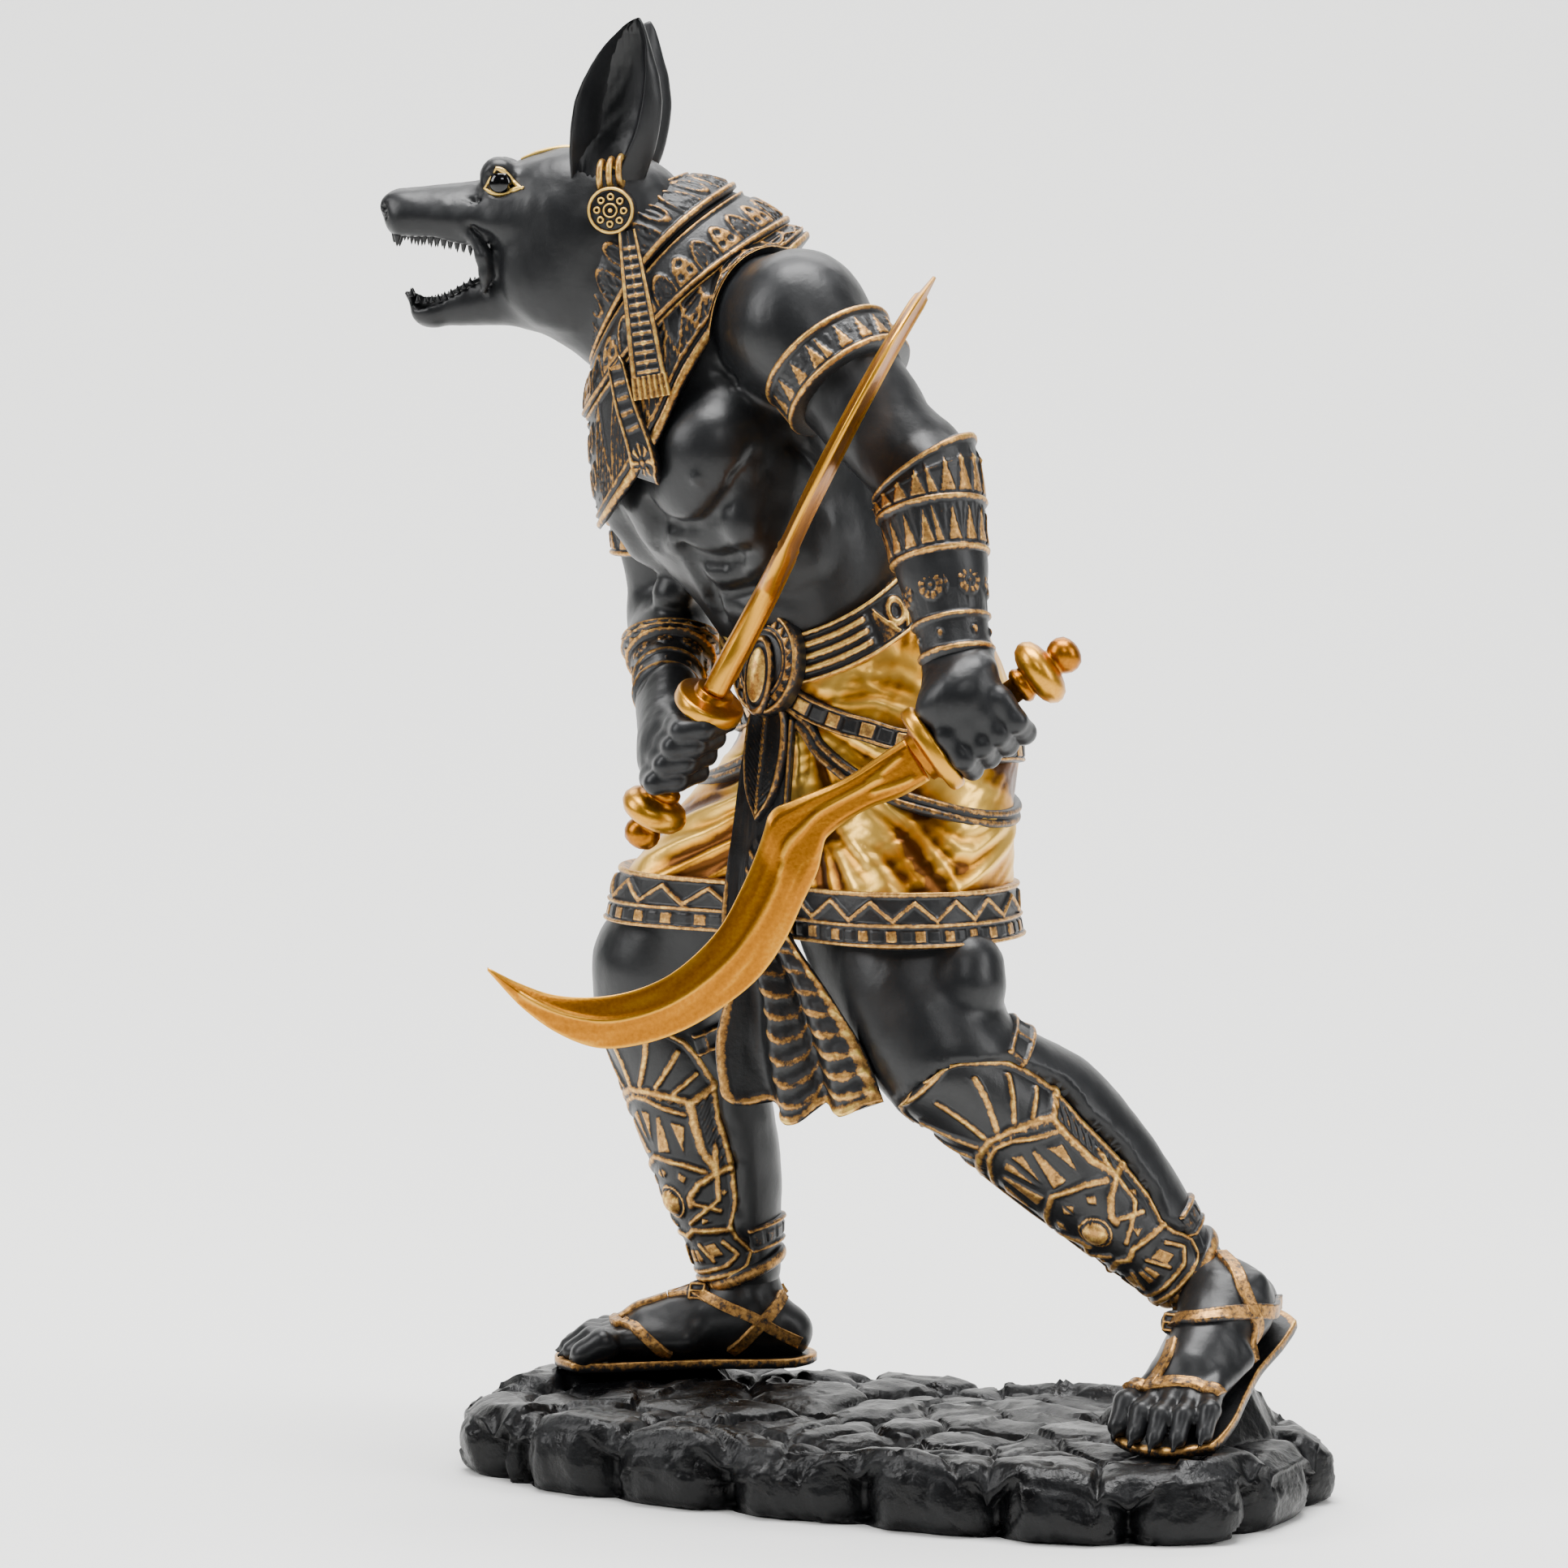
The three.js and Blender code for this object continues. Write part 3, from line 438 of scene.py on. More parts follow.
pommel_line = np.array([
    (2.4, -1), (2.4, 19.4), (2.9, 19.6), (3.5, 20.2), (3.6, 21), (3.2, 21.6), (3.1, 22), (4.6, 22.4), (6.0, 23.2),
    (6.75, 24.5), (6.7, 25.6), (5.9, 26.9), (4.4, 27.7), (2.9, 28.1), (2.7, 28.4), (3.1, 28.9), (3.6, 30),
    (3.6, 31.3), (3.0, 32.6), (1.9, 33.3), (0.9, 33.6), (0.01, 33.7)])
guard_line = np.array([
    (0.01, -3.6), (0.5, -3.6), (0.56, -3.3), (0.56, -2.4), (0.62, -2.0), (0.9, -1.7), (0.98, -1.3), (1.0, -0.8),
    (1.0, 0.6), (0.96, 1.2), (0.86, 1.5), (0.01, 1.5)])

old_gold, tree, surface = finish_named("deep_gold_leaf_paint_on_resin", Metallic=0.9, Roughness=0.32)
# Metallic acrylic brushed along the blade, faintly streaked: amber on the flats, paler along the edges, and pale
# as a painted highlight on the ridge, the fork lines and the pommel's beads.
place = add(tree, "TexCoord")
# The share named bright carries the painted highlight on ridge, fork lines and pommel beads, and paler edges.
painted_highlight_share = add(tree, "Attribute", attribute_name="bright")
streak = add(tree, "TexNoise", [("Vector", place, "Object")], in_Scale=1500.0, in_Detail=3.0)
spread = add(tree, "MapRange", [("Value", streak, "Fac")], in_1=0.3, in_2=0.7, in_3=0.36, in_4=0.54)
level = add(tree, "Math", [(0, painted_highlight_share, "Fac"), (1, spread, "Result")], operation="ADD")
shade = add(tree, "ValToRGB", [("Fac", level, "Value")],
            stops=[(0.25, "#7f4a07"), (0.58, "#ab6b0f"), (1.0, "#cf942c")])
bump = add(tree, "Bump", [("Height", streak, "Fac")], in_Strength=0.12, in_Distance=0.0003)
feed(tree, surface, Base_Color=(shade, "Color"), Normal=(bump, "Normal"))


def joined(name, grids):
    """One object from several grids, each as (points, wrap rows, wrap columns, named shares)."""
    points, faces, shares, start = [], [], {}, 0
    for grid, wrap_rows, wrap_columns, own in grids:
        rows, columns = grid.shape[:2]
        points.append(grid.reshape(-1, 3))
        faces.append(weave(rows, columns, wrap_rows, wrap_columns) + start)
        for key, value in own.items():
            shares.setdefault(key, []).append(np.broadcast_to(value, (rows, columns)).ravel())
        start += rows * columns
    piece = mesh_piece(name, np.concatenate(points), np.concatenate(faces),
                       **{key: np.concatenate(value) for key, value in shares.items()})
    return turn_outwards(piece)


def turn_outwards(piece):
    """Merges doubled points, closes the open ends and turns all faces outwards."""
    made = bmesh.new()
    made.from_mesh(piece.data)
    bmesh.ops.remove_doubles(made, verts=made.verts, dist=2e-6)
    bmesh.ops.holes_fill(made, edges=[e for e in made.edges if e.is_boundary], sides=0)
    bmesh.ops.recalc_face_normals(made, faces=made.faces)
    made.to_mesh(piece.data)
    made.free()
    piece.data.polygons.foreach_set("use_smooth", np.ones(len(piece.data.polygons), bool))
    return piece


for name, (guard, pommel, concave) in swords.items():
    flat, bright = blade(guard, pommel, concave)
    grip = turned(guard, pommel, pommel_line)
    disc = turned(guard, pommel, guard_line * [9.2, 1], 64, (0.76, 1), around=concave)
    # A painted highlight on the pommel's widest beads, and the guard's outer rim paler.
    pommel_highlight = 0.5 * step(3, 6, pommel_line[:, :1])
    rim = 0.7 * step(0.9, 1, guard_line[:, :1])
    sword = joined(name.replace("khopesh", "sword"), [(flat, False, True, dict(bright=bright)),
                                                      (grip, False, True, dict(bright=pommel_highlight)),
                                                      (disc, False, True, dict(bright=rim))])
    dressed(sword, old_gold, name)

# The body
# The figure's flesh is one resin casting under satin black enamel. It is modelled as clay is: rods and
# eggs pressed together with soft joins, then skinned. Bands, collar, kilt and greaves hide the seams.


def compass(degrees):
    """The front, left and up of a body part turned from -X towards the viewer."""
    a = math.radians(degrees)
    return np.array([[-math.cos(a), -math.sin(a), 0], [math.sin(a), -math.cos(a), 0], [0, 0, 1.0]])


def rod(a, b, start, end, soft=3.0, bulge=0.0, wide=None, flat=1.0, cut=False):
    """A rounded rod between two points: its radius runs from start to end, plus a bulge at the middle.
    With wide and flat, distances along that direction count flat times as much."""
    a, b = np.asarray(a, float), np.asarray(b, float)
    run = b - a
    reach = (max(start, end) + max(bulge, 0)) / min(flat, 1)

    def distance(p):
        t = capped((p - a) @ run / (run @ run))
        off = placed(p - a, (-t, run))
        if wide is not None:
            off = placed(off, ((flat - 1) * (off @ wide), wide))
        return np.linalg.norm(off, axis=-1) - (start + (end - start) * t + bulge * np.sin(np.pi * t))
    return dict(low=np.minimum(a, b) - reach, high=np.maximum(a, b) + reach, distance=distance, soft=soft, cut=cut)


def egg(centre, size, way=np.eye(3), soft=3.0, cut=False):
    """An egg with three half-lengths along the rows of way."""
    centre, size, way = np.asarray(centre, float), np.asarray(size, float), np.asarray(way, float)
    reach = np.sqrt(((way * size[:, None]) ** 2).sum(0))

    def distance(p):
        q = (p - centre) @ way.T / size
        near = np.linalg.norm(q, axis=-1)
        return near * (near - 1) / np.maximum(np.linalg.norm(q / size, axis=-1), 1e-9)
    return dict(low=centre - reach, high=centre + reach, distance=distance, soft=soft, cut=cut)


def strand(points, radii, soft=1.5, **more):
    """Rods one after another along a line of points."""
    return [rod(points[i], points[i + 1], radii[i], radii[i + 1], soft if i else more.pop("first", soft), **more)
            for i in range(len(points) - 1)]


def press(d, e, soft, cut):
    """Joins a shape to the clay, or cuts it out, rounding the seam over the given width."""
    if cut:
        d = -d
    h = np.maximum(soft - np.abs(d - e), 0) / soft
    d = np.minimum(d, e) - h * h * soft / 4
    return -d if cut else d


def clay(parts, p):
    """How far each point lies outside the clay, in mm; negative inside."""
    d = np.full(p.shape[:-1], 40.0)
    for part in parts:
        m = part["soft"] + 3
        near = ((p > part["low"] - m) & (p < part["high"] + m)).all(-1)
        if near.any():
            d[near] = press(d[near], part["distance"](p[near]), part["soft"], part["cut"])
    return d


def slope(parts, p, h=0.15):
    """The direction in which the clay's distance grows fastest."""
    g = np.stack([clay(parts, p + h * e) - clay(parts, p - h * e) for e in np.eye(3)], -1)
    return g / np.maximum(np.linalg.norm(g, axis=-1, keepdims=True), 1e-9)


def net(d, low, cell):
    """A net over the zero level of a block of distances: one point in each cell that the level crosses, at
    the mean of its crossings, and one four-sided face round each crossed edge."""
    spots, quads = [], []
    for axis in range(3):
        a, b = (axis + 1) % 3, (axis + 2) % 3
        first = [slice(1, -1)] * 3
        first[axis] = slice(0, -1)
        second = list(first)
        second[axis] = slice(1, None)
        low_d, high_d = d[tuple(first)], d[tuple(second)]
        cross = (low_d < 0) != (high_d < 0)
        index = np.argwhere(cross)
        index[:, a] += 1
        index[:, b] += 1
        f0, f1 = low_d[cross], high_d[cross]
        spot = index.astype(float)
        spot[:, axis] += f0 / (f0 - f1)
        ea, eb = np.eye(3, dtype=int)[a], np.eye(3, dtype=int)[b]
        ids = np.stack([np.ravel_multi_index((index - m).T, d.shape) for m in (ea + eb, eb, 0 * ea, ea)], -1)
        quads.append(np.where((f0 < 0)[:, None], ids, ids[:, ::-1]))
        spots.append(np.repeat(spot, 4, 0))
    _, index = np.unique(np.concatenate(quads).ravel(), return_inverse=True)
    spots = np.concatenate(spots)
    count = np.bincount(index)
    points = np.stack([np.bincount(index, spots[:, k]) / count for k in range(3)], -1)
    return low + points * cell, index.reshape(-1, 4)


def skinned(name, parts, cell, relief):
    """A mesh over the clay: the net at the given cell size, drawn onto the exact surface and raised by relief."""
    low = np.min([p["low"] for p in parts if not p["cut"]], 0) - 3 * cell
    high = np.max([p["high"] for p in parts if not p["cut"]], 0) + 3 * cell
    axes = [np.arange(low[k], high[k], cell) for k in range(3)]
    d = np.full([len(axis) for axis in axes], 40.0, np.float32)
    for part in parts:
        m = part["soft"] + 2.5 * cell
        block = tuple(slice(*np.searchsorted(axes[k], [part["low"][k] - m, part["high"][k] + m])) for k in range(3))
        p = np.stack(np.meshgrid(*[axes[k][block[k]] for k in range(3)], indexing="ij"), -1)
        if p.size:
            d[block] = press(d[block], part["distance"](p), part["soft"], part["cut"])
    points, faces = net(d, low, cell)
    for _ in range(2):
        points -= np.clip(clay(parts, points), -cell, cell)[:, None] * slope(parts, points) * 0.9
    points = placed(points, (relief(points), slope(parts, points)))
    return mesh_piece(name, points, faces)


head_way, chest_way, hip_way = compass(-4), compass(35), compass(50)
head_centre = np.array([-65.1, 14, 255.7])
joints = {
    "left": dict(hip=(6, 12, 148), knee=(12, -13, 87), ankle=(59, -4, 45), shin_front=(-0.5, -0.63, -0.59),
                 shoulder=(-17.7, -7, 233), elbow=(7, -27, 201), wrist=(12.6, -38, 168)),
    "right": dict(hip=(-12, 28, 148), knee=(-46, 42, 90), ankle=(-29, 45, 37), shin_front=(-0.95, -0.2, -0.25),
                  shoulder=(-45.7, 46, 212), elbow=(-43, 47, 171), wrist=(-44, 12, 157.5))}
joints = {side: {name: np.array(place, float) for name, place in own.items()} for side, own in joints.items()}


sides = {"left": 1, "right": -1}


def in_head(ahead, left, up):
    """A place in the head's own axes: mm ahead, to its left and up from the middle of the skull."""
    return head_centre + ahead * head_way[0] + left * head_way[1] + up * head_way[2]


def both(make):
    """The same shapes made for the left side and the right."""
    return [part for side in sides.values() for part in make(side)]


def head_rod(a, b, start, end, *soft, **more):
    """A rod between two places in the head's own axes."""
    return rod(in_head(*a), in_head(*b), start, end, *soft, **more)


def head_egg(centre, size, *soft, **more):
    """An egg set square to the head."""
    return egg(in_head(*centre), size, head_way, *soft, **more)


def head_strand(side, points, radii, soft, **more):
    """A line of rods on one side of the head."""
    return strand([in_head(ahead, side * out, up) for ahead, out, up in points], radii, soft, **more)


flat_cut = dict(wide=head_way[1], flat=0.25, cut=True)
head_parts = (
    [head_egg((-3, 0, -0.5), (17, 12.2, 11.6)),
     head_egg((-14, 0, -3), (12, 12, 12), 5),
     head_rod((5, 0, -2.6), (31, 0, -1.2), 8.3, 4.2, 5, wide=head_way[1], flat=1.1),
     head_egg((33.0, 0, -0.6), (2.9, 3.2, 2.7), 1.2),
     head_egg((31.0, 0, -3.6), (3.6, 3.9, 3.4), 1.5),
     head_rod((2, 0, -16.6), (24, 0, -20.9), 7.8, 3.4, 5),
     head_egg((26.4, 0, -21.6), (3.5, 3.5, 2.9), 2),
     head_rod((27.8, 0, -20), (30.2, 0, -17.6), 2.4, 1.1, 1.2),
     rod(in_head(-6, 0, -8), (-46, 16.5, 240), 14, 16, 6),
     rod((-46, 16.5, 240), (-34, 19, 226), 16, 19, 5),
     rod(in_head(-1, 0, -16), (-52, 15, 233), 9.4, 12, 6)]
    + both(lambda side: [
        head_rod((30, side * 1.8, -2.6), (12, side * 5.2, -3.4), 3.5, 4.6, 2.5),
        head_rod((31, side * 2.4, -4.8), (17, side * 5.2, -6.4), 1.7, 2.0, 1.5),
        head_egg((11.6, side * 4.9, 5.2), (3.9, 3.7, 3.9), 1.6),
        head_rod((12.5, side * 6.4, 0.2), (0, side * 9.4, -1.0), 1.8, 3.0, 2.5),
        head_egg((0, side * 7.4, -12), (10.5, 5.4, 12), 4),
        head_egg((8, side * 7.2, -3.8), (5.0, 3.2, 2.8), 3)])
    + [head_rod((15.4, 0, -11.4), (20, 0, -11.4), 1.3, 3.4, 0.8, **flat_cut),
       head_rod((20, 0, -11.4), (25, 0, -12.3), 3.4, 5.6, 0.8, **flat_cut),
       head_rod((25, 0, -12.3), (37, 0, -11.6), 5.6, 5.2, 0.8, **flat_cut),
       head_rod((15.5, 0, -8.2), (29, 0, -7.4), 2.4, 2.2, 0.6, cut=True),
       head_rod((15.5, 1.2, -13.0), (27.0, 1.2, -19.0), 3.0, 2.5, 0.6, cut=True),
       head_egg((11.3, 0, -11.6), (3.7, 7.4, 6.4), 1.0)]
    + both(lambda side: [
        head_egg((11.4, side * 8.6, 3.8), (3.4, 2.1, 2.5), 0.8, cut=True),
        head_egg((11.2, side * 6.6, 3.7), (2.7, 2.2, 2.3), 0.4),
        head_egg((34.6, side * 2.2, -1.0), (1.3, 0.9, 0.7), 0.4, cut=True),
        head_rod((35.4, side * 1.0, -2.3), (33.4, side * 3.2, -2.6), 0.35, 0.3, 0.5, cut=True)]
        + head_strand(side, [(23.5, 5.4, -3.0), (18.6, 6.4, -4.6), (16.0, 7.2, -7.0), (14.6, 7.6, -10.4),
                             (14.0, 7.2, -14.0), (14.6, 6.2, -17.4)], [0.6, 1.1, 1.4, 1.5, 1.3, 0.6], 1.0)
        + head_strand(side, [(16.6, 7.8, -4.6), (13.8, 9.0, -7.2), (12.2, 9.6, -10.6), (12.2, 9.2, -14.0),
                             (14.0, 7.6, -18.0)], [0.4, 0.9, 1.1, 0.9, 0.3], 1.4, cut=True)
        + head_strand(side, [(19.6, 6.0, 2.0), (16.6, 6.4, 0.4), (12.0, 7.4, -0.8)], [0.3, 0.5, 0.3], 0.8,
                      cut=True)))


def lerp(a, b, t):
    """The point a share t of the way from a to b."""
    return np.asarray(a) * (1 - t) + np.asarray(b) * t


def arm_parts(side):
    """The shoulder's cap, biceps and triceps with the groove between them, the elbow and the forearm."""
    own = joints[side]
    f, out = chest_way[0], chest_way[1] * sides[side]
    s, e, w = own["shoulder"], own["elbow"], own["wrist"]

    def upper(share, ahead, outwards=0.0):
        return lerp(s, e, share) + ahead * f + outwards * out
    return [egg(s + [-0.8, 0, -1.8] + 0.5 * out, (13.4, 13.2, 14.2), chest_way, 5),
            rod(s, upper(0.5, 0), 12, 9.5, 4, 1.0),
            rod(upper(0.3, 0), e, 10.2, 8.4, 4, 0.6),
            rod(upper(0.36, 3.6), upper(0.84, 3.0), 5.8, 4.4, 1.8, 2.4),
            rod(upper(0.3, -3.6), upper(0.8, -3.0), 6.2, 4.2, 1.8, 2.2),
            rod(upper(0.55, -1.5, 3.8), upper(0.97, -1.0, 3.6), 4.8, 4.0, 1.6, 1.2),
            rod(upper(0.42, 1.2, 8.9), upper(0.9, 1.0, 8.3), 0.6, 0.6, 3, cut=True),
            egg(e, (8.8, 8.6, 9), chest_way, 3),
            egg(upper(0.86, -5.2, 1.0), (6.4, 6.4, 8.4), chest_way, 4),
            rod(e, lerp(e, w, 0.45), 8.6, 8.4, 3, 0.6),
            rod(lerp(e, w, 0.4), w, 8.2, 6.2, 3)]


muscles = np.array([
    (-35.9, 3.1, 203.9, -33.8, 0.2, 207.1, 12), (-36.6, 1.6, 200.0, -34.0, -1.5, 202.9, 8),
    (-39.8, 6.4, 192.2, -31.2, 1.8, 191.7, 5.2), (-31.2, 5.7, 184.9, -26.5, 3.6, 184.0, 5.2),
    (-27.1, 7.2, 178.0, -24.8, 5.3, 177.2, 5.4), (-37.0, 6.9, 185.3, -34.0, 10.3, 178.7, 2.8),
    (-31.0, -5.1, 201.8, -29.3, -5.2, 196.6, 3.0), (-24.6, -4.5, 199.7, -27.0, -5.9, 193.9, 3.0),
    (-31.0, -3.4, 195.3, -28.2, -4.9, 192.6, 3.3), (-20.3, -2.4, 203.7, -21.2, -2.8, 196.5, 3.3),
    (-27.1, -3.5, 191.9, -24.5, -2.1, 187.7, 4.4), (-22.1, -3.4, 193.1, -23.2, -3.5, 189.8, 3.3),
    (-14.0, 2.2, 192.0, -15.9, 1.1, 187.4, 4.4), (-24.6, 4.0, 177.2, -20.1, 4.1, 175.3, 4.4)])
furrows = [
    [(-45.9, 4.8, 194.3), (-43.8, 3.3, 193.0), (-41.2, 1.4, 192.6), (-38.2, -1.0, 193.4), (-35.1, -3.7, 195.6),
     (-32.5, -6.2, 198.9), (-30.6, -7.6, 203.0), (-28.1, -7.0, 206.7)],
    [(-46.5, 4.6, 196.6), (-45.5, 4.7, 194.1), (-44.7, 5.8, 191.0), (-45.4, 9.3, 188.3)],
    [(-40.3, 3.6, 188.2), (-38.2, 3.5, 186.5), (-35.4, 2.3, 185.4), (-32.6, 0.8, 185.4), (-29.4, -2.7, 186.8),
     (-27.4, -5.4, 187.9)],
    [(-39.6, 3.8, 187.5), (-37.7, 5.8, 183.3), (-35.2, 6.3, 180.2), (-34.3, 7.9, 177.5), (-32.5, 8.6, 174.4)],
    [(-31.6, 4.3, 178.7), (-28.0, 1.6, 178.8), (-24.4, -1.3, 180.6)],
    [(-20.4, -4.7, 215.3), (-19.0, -4.5, 209.6), (-14.4, -2.6, 204.5)],
    [(-34.9, -3.0, 228.9), (-33.2, -3.5, 223.3), (-30.4, -4.7, 221.3), (-26.2, -13.5, 222.0)]]


def mirrored(p):
    """The same place on the other side of the chest's middle plane, which passes through X -29.5, Y 20."""
    p = np.asarray(p, float)
    return placed(p, (-2 * ((p - [-29.5, 20, 0]) @ chest_way[1]), chest_way[1]))


def laid_on(parts, points, rounds=5, most=40):
    """Points moved along the clay's slope, at most so many mm a round, until they lie on its surface."""
    points = np.array(points, float)
    for _ in range(rounds):
        points = placed(points, (-np.clip(clay(parts, points), -most, most), slope(parts, points)))
    return points


def torso_parts():
    """The rib cage, waist and shoulders, pecs and back, each muscle as a short rod, and the furrows cut in."""
    f, l = chest_way[0], chest_way[1]
    lean = np.array([-0.33, 0, 0.944])
    way = np.array([unit(f - lean * (f @ lean)), unit(np.cross(lean, f - lean * (f @ lean))), lean])
    c = np.array([-29.5, 20, 207.0])
    parts = [egg(c, (24.5, 27, 31), way, 6),
             egg((-31, 20, 229), (19, 25, 17), way, 8),
             rod((-9, 20, 160), (-18, 20, 186), 18.5, 20.0, 6),
             rod((-18, 20, 186), (-27, 20, 200), 20.5, 23, 6),
             rod(joints["left"]["shoulder"] + [0, 3, 0], (-30, 12, 234), 12, 12, 6),
             rod(joints["right"]["shoulder"] + [0, -3, 1], (-37, 28, 228), 12, 12, 6)]
    for side in (1, -1):
        parts += [egg(c + f * 14.6 + l * side * 10.6 + [0, 0, -1], (9.0, 13.4, 11.4), way, 5),
                  egg(c + f * 8 + l * side * 20 + [0, 0, -12], (9, 5.5, 7), way, 4),
                  egg(c + f * 4 + l * side * 19 + [2, 0, -19], (10, 5.5, 7), way, 4),
                  rod(c - f * 17 + l * side * 9 + [0, 0, 18], c - f * 14 + l * side * 7 + [8, 0, -26], 9, 6, 4),
                  rod(c - f * 18 + l * side * 12 + [0, 0, 16], c - f * 12 + l * side * 18 + [4, 0, 2], 8, 6, 3)]
    parts.append(rod(c - f * 24 + [0, 0, 24], c - f * 21 + [10, 0, -28], 2.0, 2.0, 4, cut=True))
    for row in muscles:
        parts.append(rod(row[:3], row[3:6], row[6], row[6], 2.4))
    for row in muscles[6:]:
        parts.append(rod(mirrored(row[:3]), mirrored(row[3:6]), row[6], row[6], 2.4))
    parts.append(rod((-44.2, 12.6, 197.9), (-42.3, 12.3, 194.1), 8.4, 8.2, 2.4))
    lines = [laid_on(parts, line) for line in furrows + [mirrored(line) for line in furrows[5:]]]
    for line in lines:
        parts += strand(line, np.full(len(line), 0.6), 2.6, cut=True)
    nipples = laid_on(parts, [(-37.9, -10.2, 202.0), mirrored((-37.9, -10.2, 202.0))])
    return parts + [egg(nipple, (1, 1, 1), soft=1.2) for nipple in nipples]


thighs = {"left": [(6, 12, 148, 14.5), (2, 9, 125, 14.2), (3, 4, 114.5, 14.6), (4, 0, 107, 15.3), (6, -5, 99, 14.8),
                   (9.5, -10, 91, 13.4), (12, -13, 87, 12.2)],
          "right": [(-12, 28, 148, 15.5), (-23, 30, 128, 13), (-35, 36, 113, 14.5), (-44, 41, 100, 15),
                    (-46, 42, 90, 13)]}


def leg_parts(side):
    """The thigh and calf as strands that swell, with the thigh's three muscles, the kneecap and the hamstrings."""
    own = joints[side]
    hip, knee, ankle = own["hip"], own["knee"], own["ankle"]
    front, down, thigh_down = unit(own["shin_front"]), unit(ankle - knee), unit(knee - hip)
    back = -unit(front - down * (front @ down))
    ahead = unit(front - thigh_down * (front @ thigh_down))
    across = np.cross(ahead, thigh_down)
    thigh = np.array(thighs[side], float)
    calf = np.array([(0.05, 11.4, 1.5), (0.2, 11.6, 4.2), (0.34, 12, 6.2), (0.47, 11.5, 6.0), (0.61, 10.4, 5.2),
                     (0.74, 9.2, 3.8), (0.84, 8.1, 2.2), (1.0, 7.0, 0.2)])
    lean, start, lighter = (1.0, 0.74, 0) if side == "left" else (0.66, 0.4, 0.4)
    top = lerp(hip, knee, start)

    def shin(share, set_back, outwards=0.0):
        return lerp(knee, ankle, share) + back * set_back * lean + across * outwards
    parts = [rod((-10, 10, 121), (-3, 3, 104), 11.0, 12.0, 5)] if side == "left" else []
    parts += strand(thigh[:, :3], thigh[:, 3], 5)
    parts += strand([shin(share, set_back) for share, _, set_back in calf], calf[:, 1] - lighter, 4)
    parts += [rod(top + 8 * ahead - 3 * across, lerp(hip, knee, 0.93) + 4.5 * ahead, 8, 5.5, 2.5, 1.6),
              rod(top + 8 * across, lerp(hip, knee, 0.9) + 6 * across, 8, 4.6, 2.0, 1.6),
              rod(top - 8 * across, lerp(hip, knee, 0.9) - 6 * across, 8, 4.6, 2.0, 1.6),
              egg(knee, (12, 12, 12), soft=4),
              egg(knee - back * 4.6, (8, 8, 8), soft=2.0)]
    parts += [rod(knee + back * 9 + across * 7 * hand - down * 6, knee + back * 8 + across * 6 * hand + down * 8,
                  3.4, 2.6, 1.5) for hand in (1, -1)]
    return parts + [rod(knee, ankle, 9.5, 7.0, 4),
                    rod(shin(0.12, 6, 5), shin(0.55, 5), 6, 5, 3, 3),
                    rod(shin(0.12, 6, -5), shin(0.5, 5), 6, 5, 3, 3)]


def foot_compass(side):
    """The way from heel to toe at full length, the way to the side, and up from the sole."""
    run = soles[side]["toe"] - soles[side]["heel"]
    aside = unit(np.array([-run[1], run[0], 0]))
    up = np.cross(unit(run), aside)
    return run, aside, up * np.sign(up[2])


def foot_parts(side):
    """Heel, instep, ball and ankle bones, then five toes as strands, each with a nail that points forward."""
    run, aside, up = foot_compass(side)
    squash, plump, far, thumb = (1.0, 1.0, 1.04, 0) if side == "left" else (0.84, 1.3, 1.0, 4)

    def spot(share, to_side, height):
        return soles[side]["heel"] + share * run + to_side * aside + height * squash * up
    parts = [rod(spot(0.05, 0, 5.4), spot(0.28, 0, 7.0), 5.6, 6.8, 3),
             rod(spot(0.18, 0, 9), joints[side]["ankle"], 6.8, 6.9, 4),
             rod(spot(0.26, 0, 10.5), spot(0.66, 0, 6.6), 7.6, 5.2, 4, wide=aside, flat=0.86),
             rod(spot(0.5, 0, 5), spot(0.8, 0, 4.0), 4.8, 3.9, 3, wide=aside, flat=0.48),
             egg(spot(0.2, 5.6, 14), (2.0, 2.0, 2.0), soft=2),
             egg(spot(0.2, -5.6, 14), (2.0, 2.0, 2.0), soft=2)]
    for toe in range(5):
        place = toe - 2
        reach = far - 0.018 * place ** 2
        big = 1.25 if toe == thumb else 1.0
        parts += strand([spot(0.6, place * 2.9, 5.8), spot(0.84, place * 4.0, 5.0),
                         spot(reach - 0.07, place * 4.4, 4.7), spot(reach + 0.02, place * 4.5, 2.0)],
                        np.array([1.5, 1.8, 2.1 * big, 1.8 * big]) * plump, 1.0, first=1.6)
        parts.append(rod(spot(reach + 0.02, place * 4.5, 2.8), spot(reach + 0.09, place * 4.6, 0.9),
                         1.2, 0.35, 0.4))
    return parts


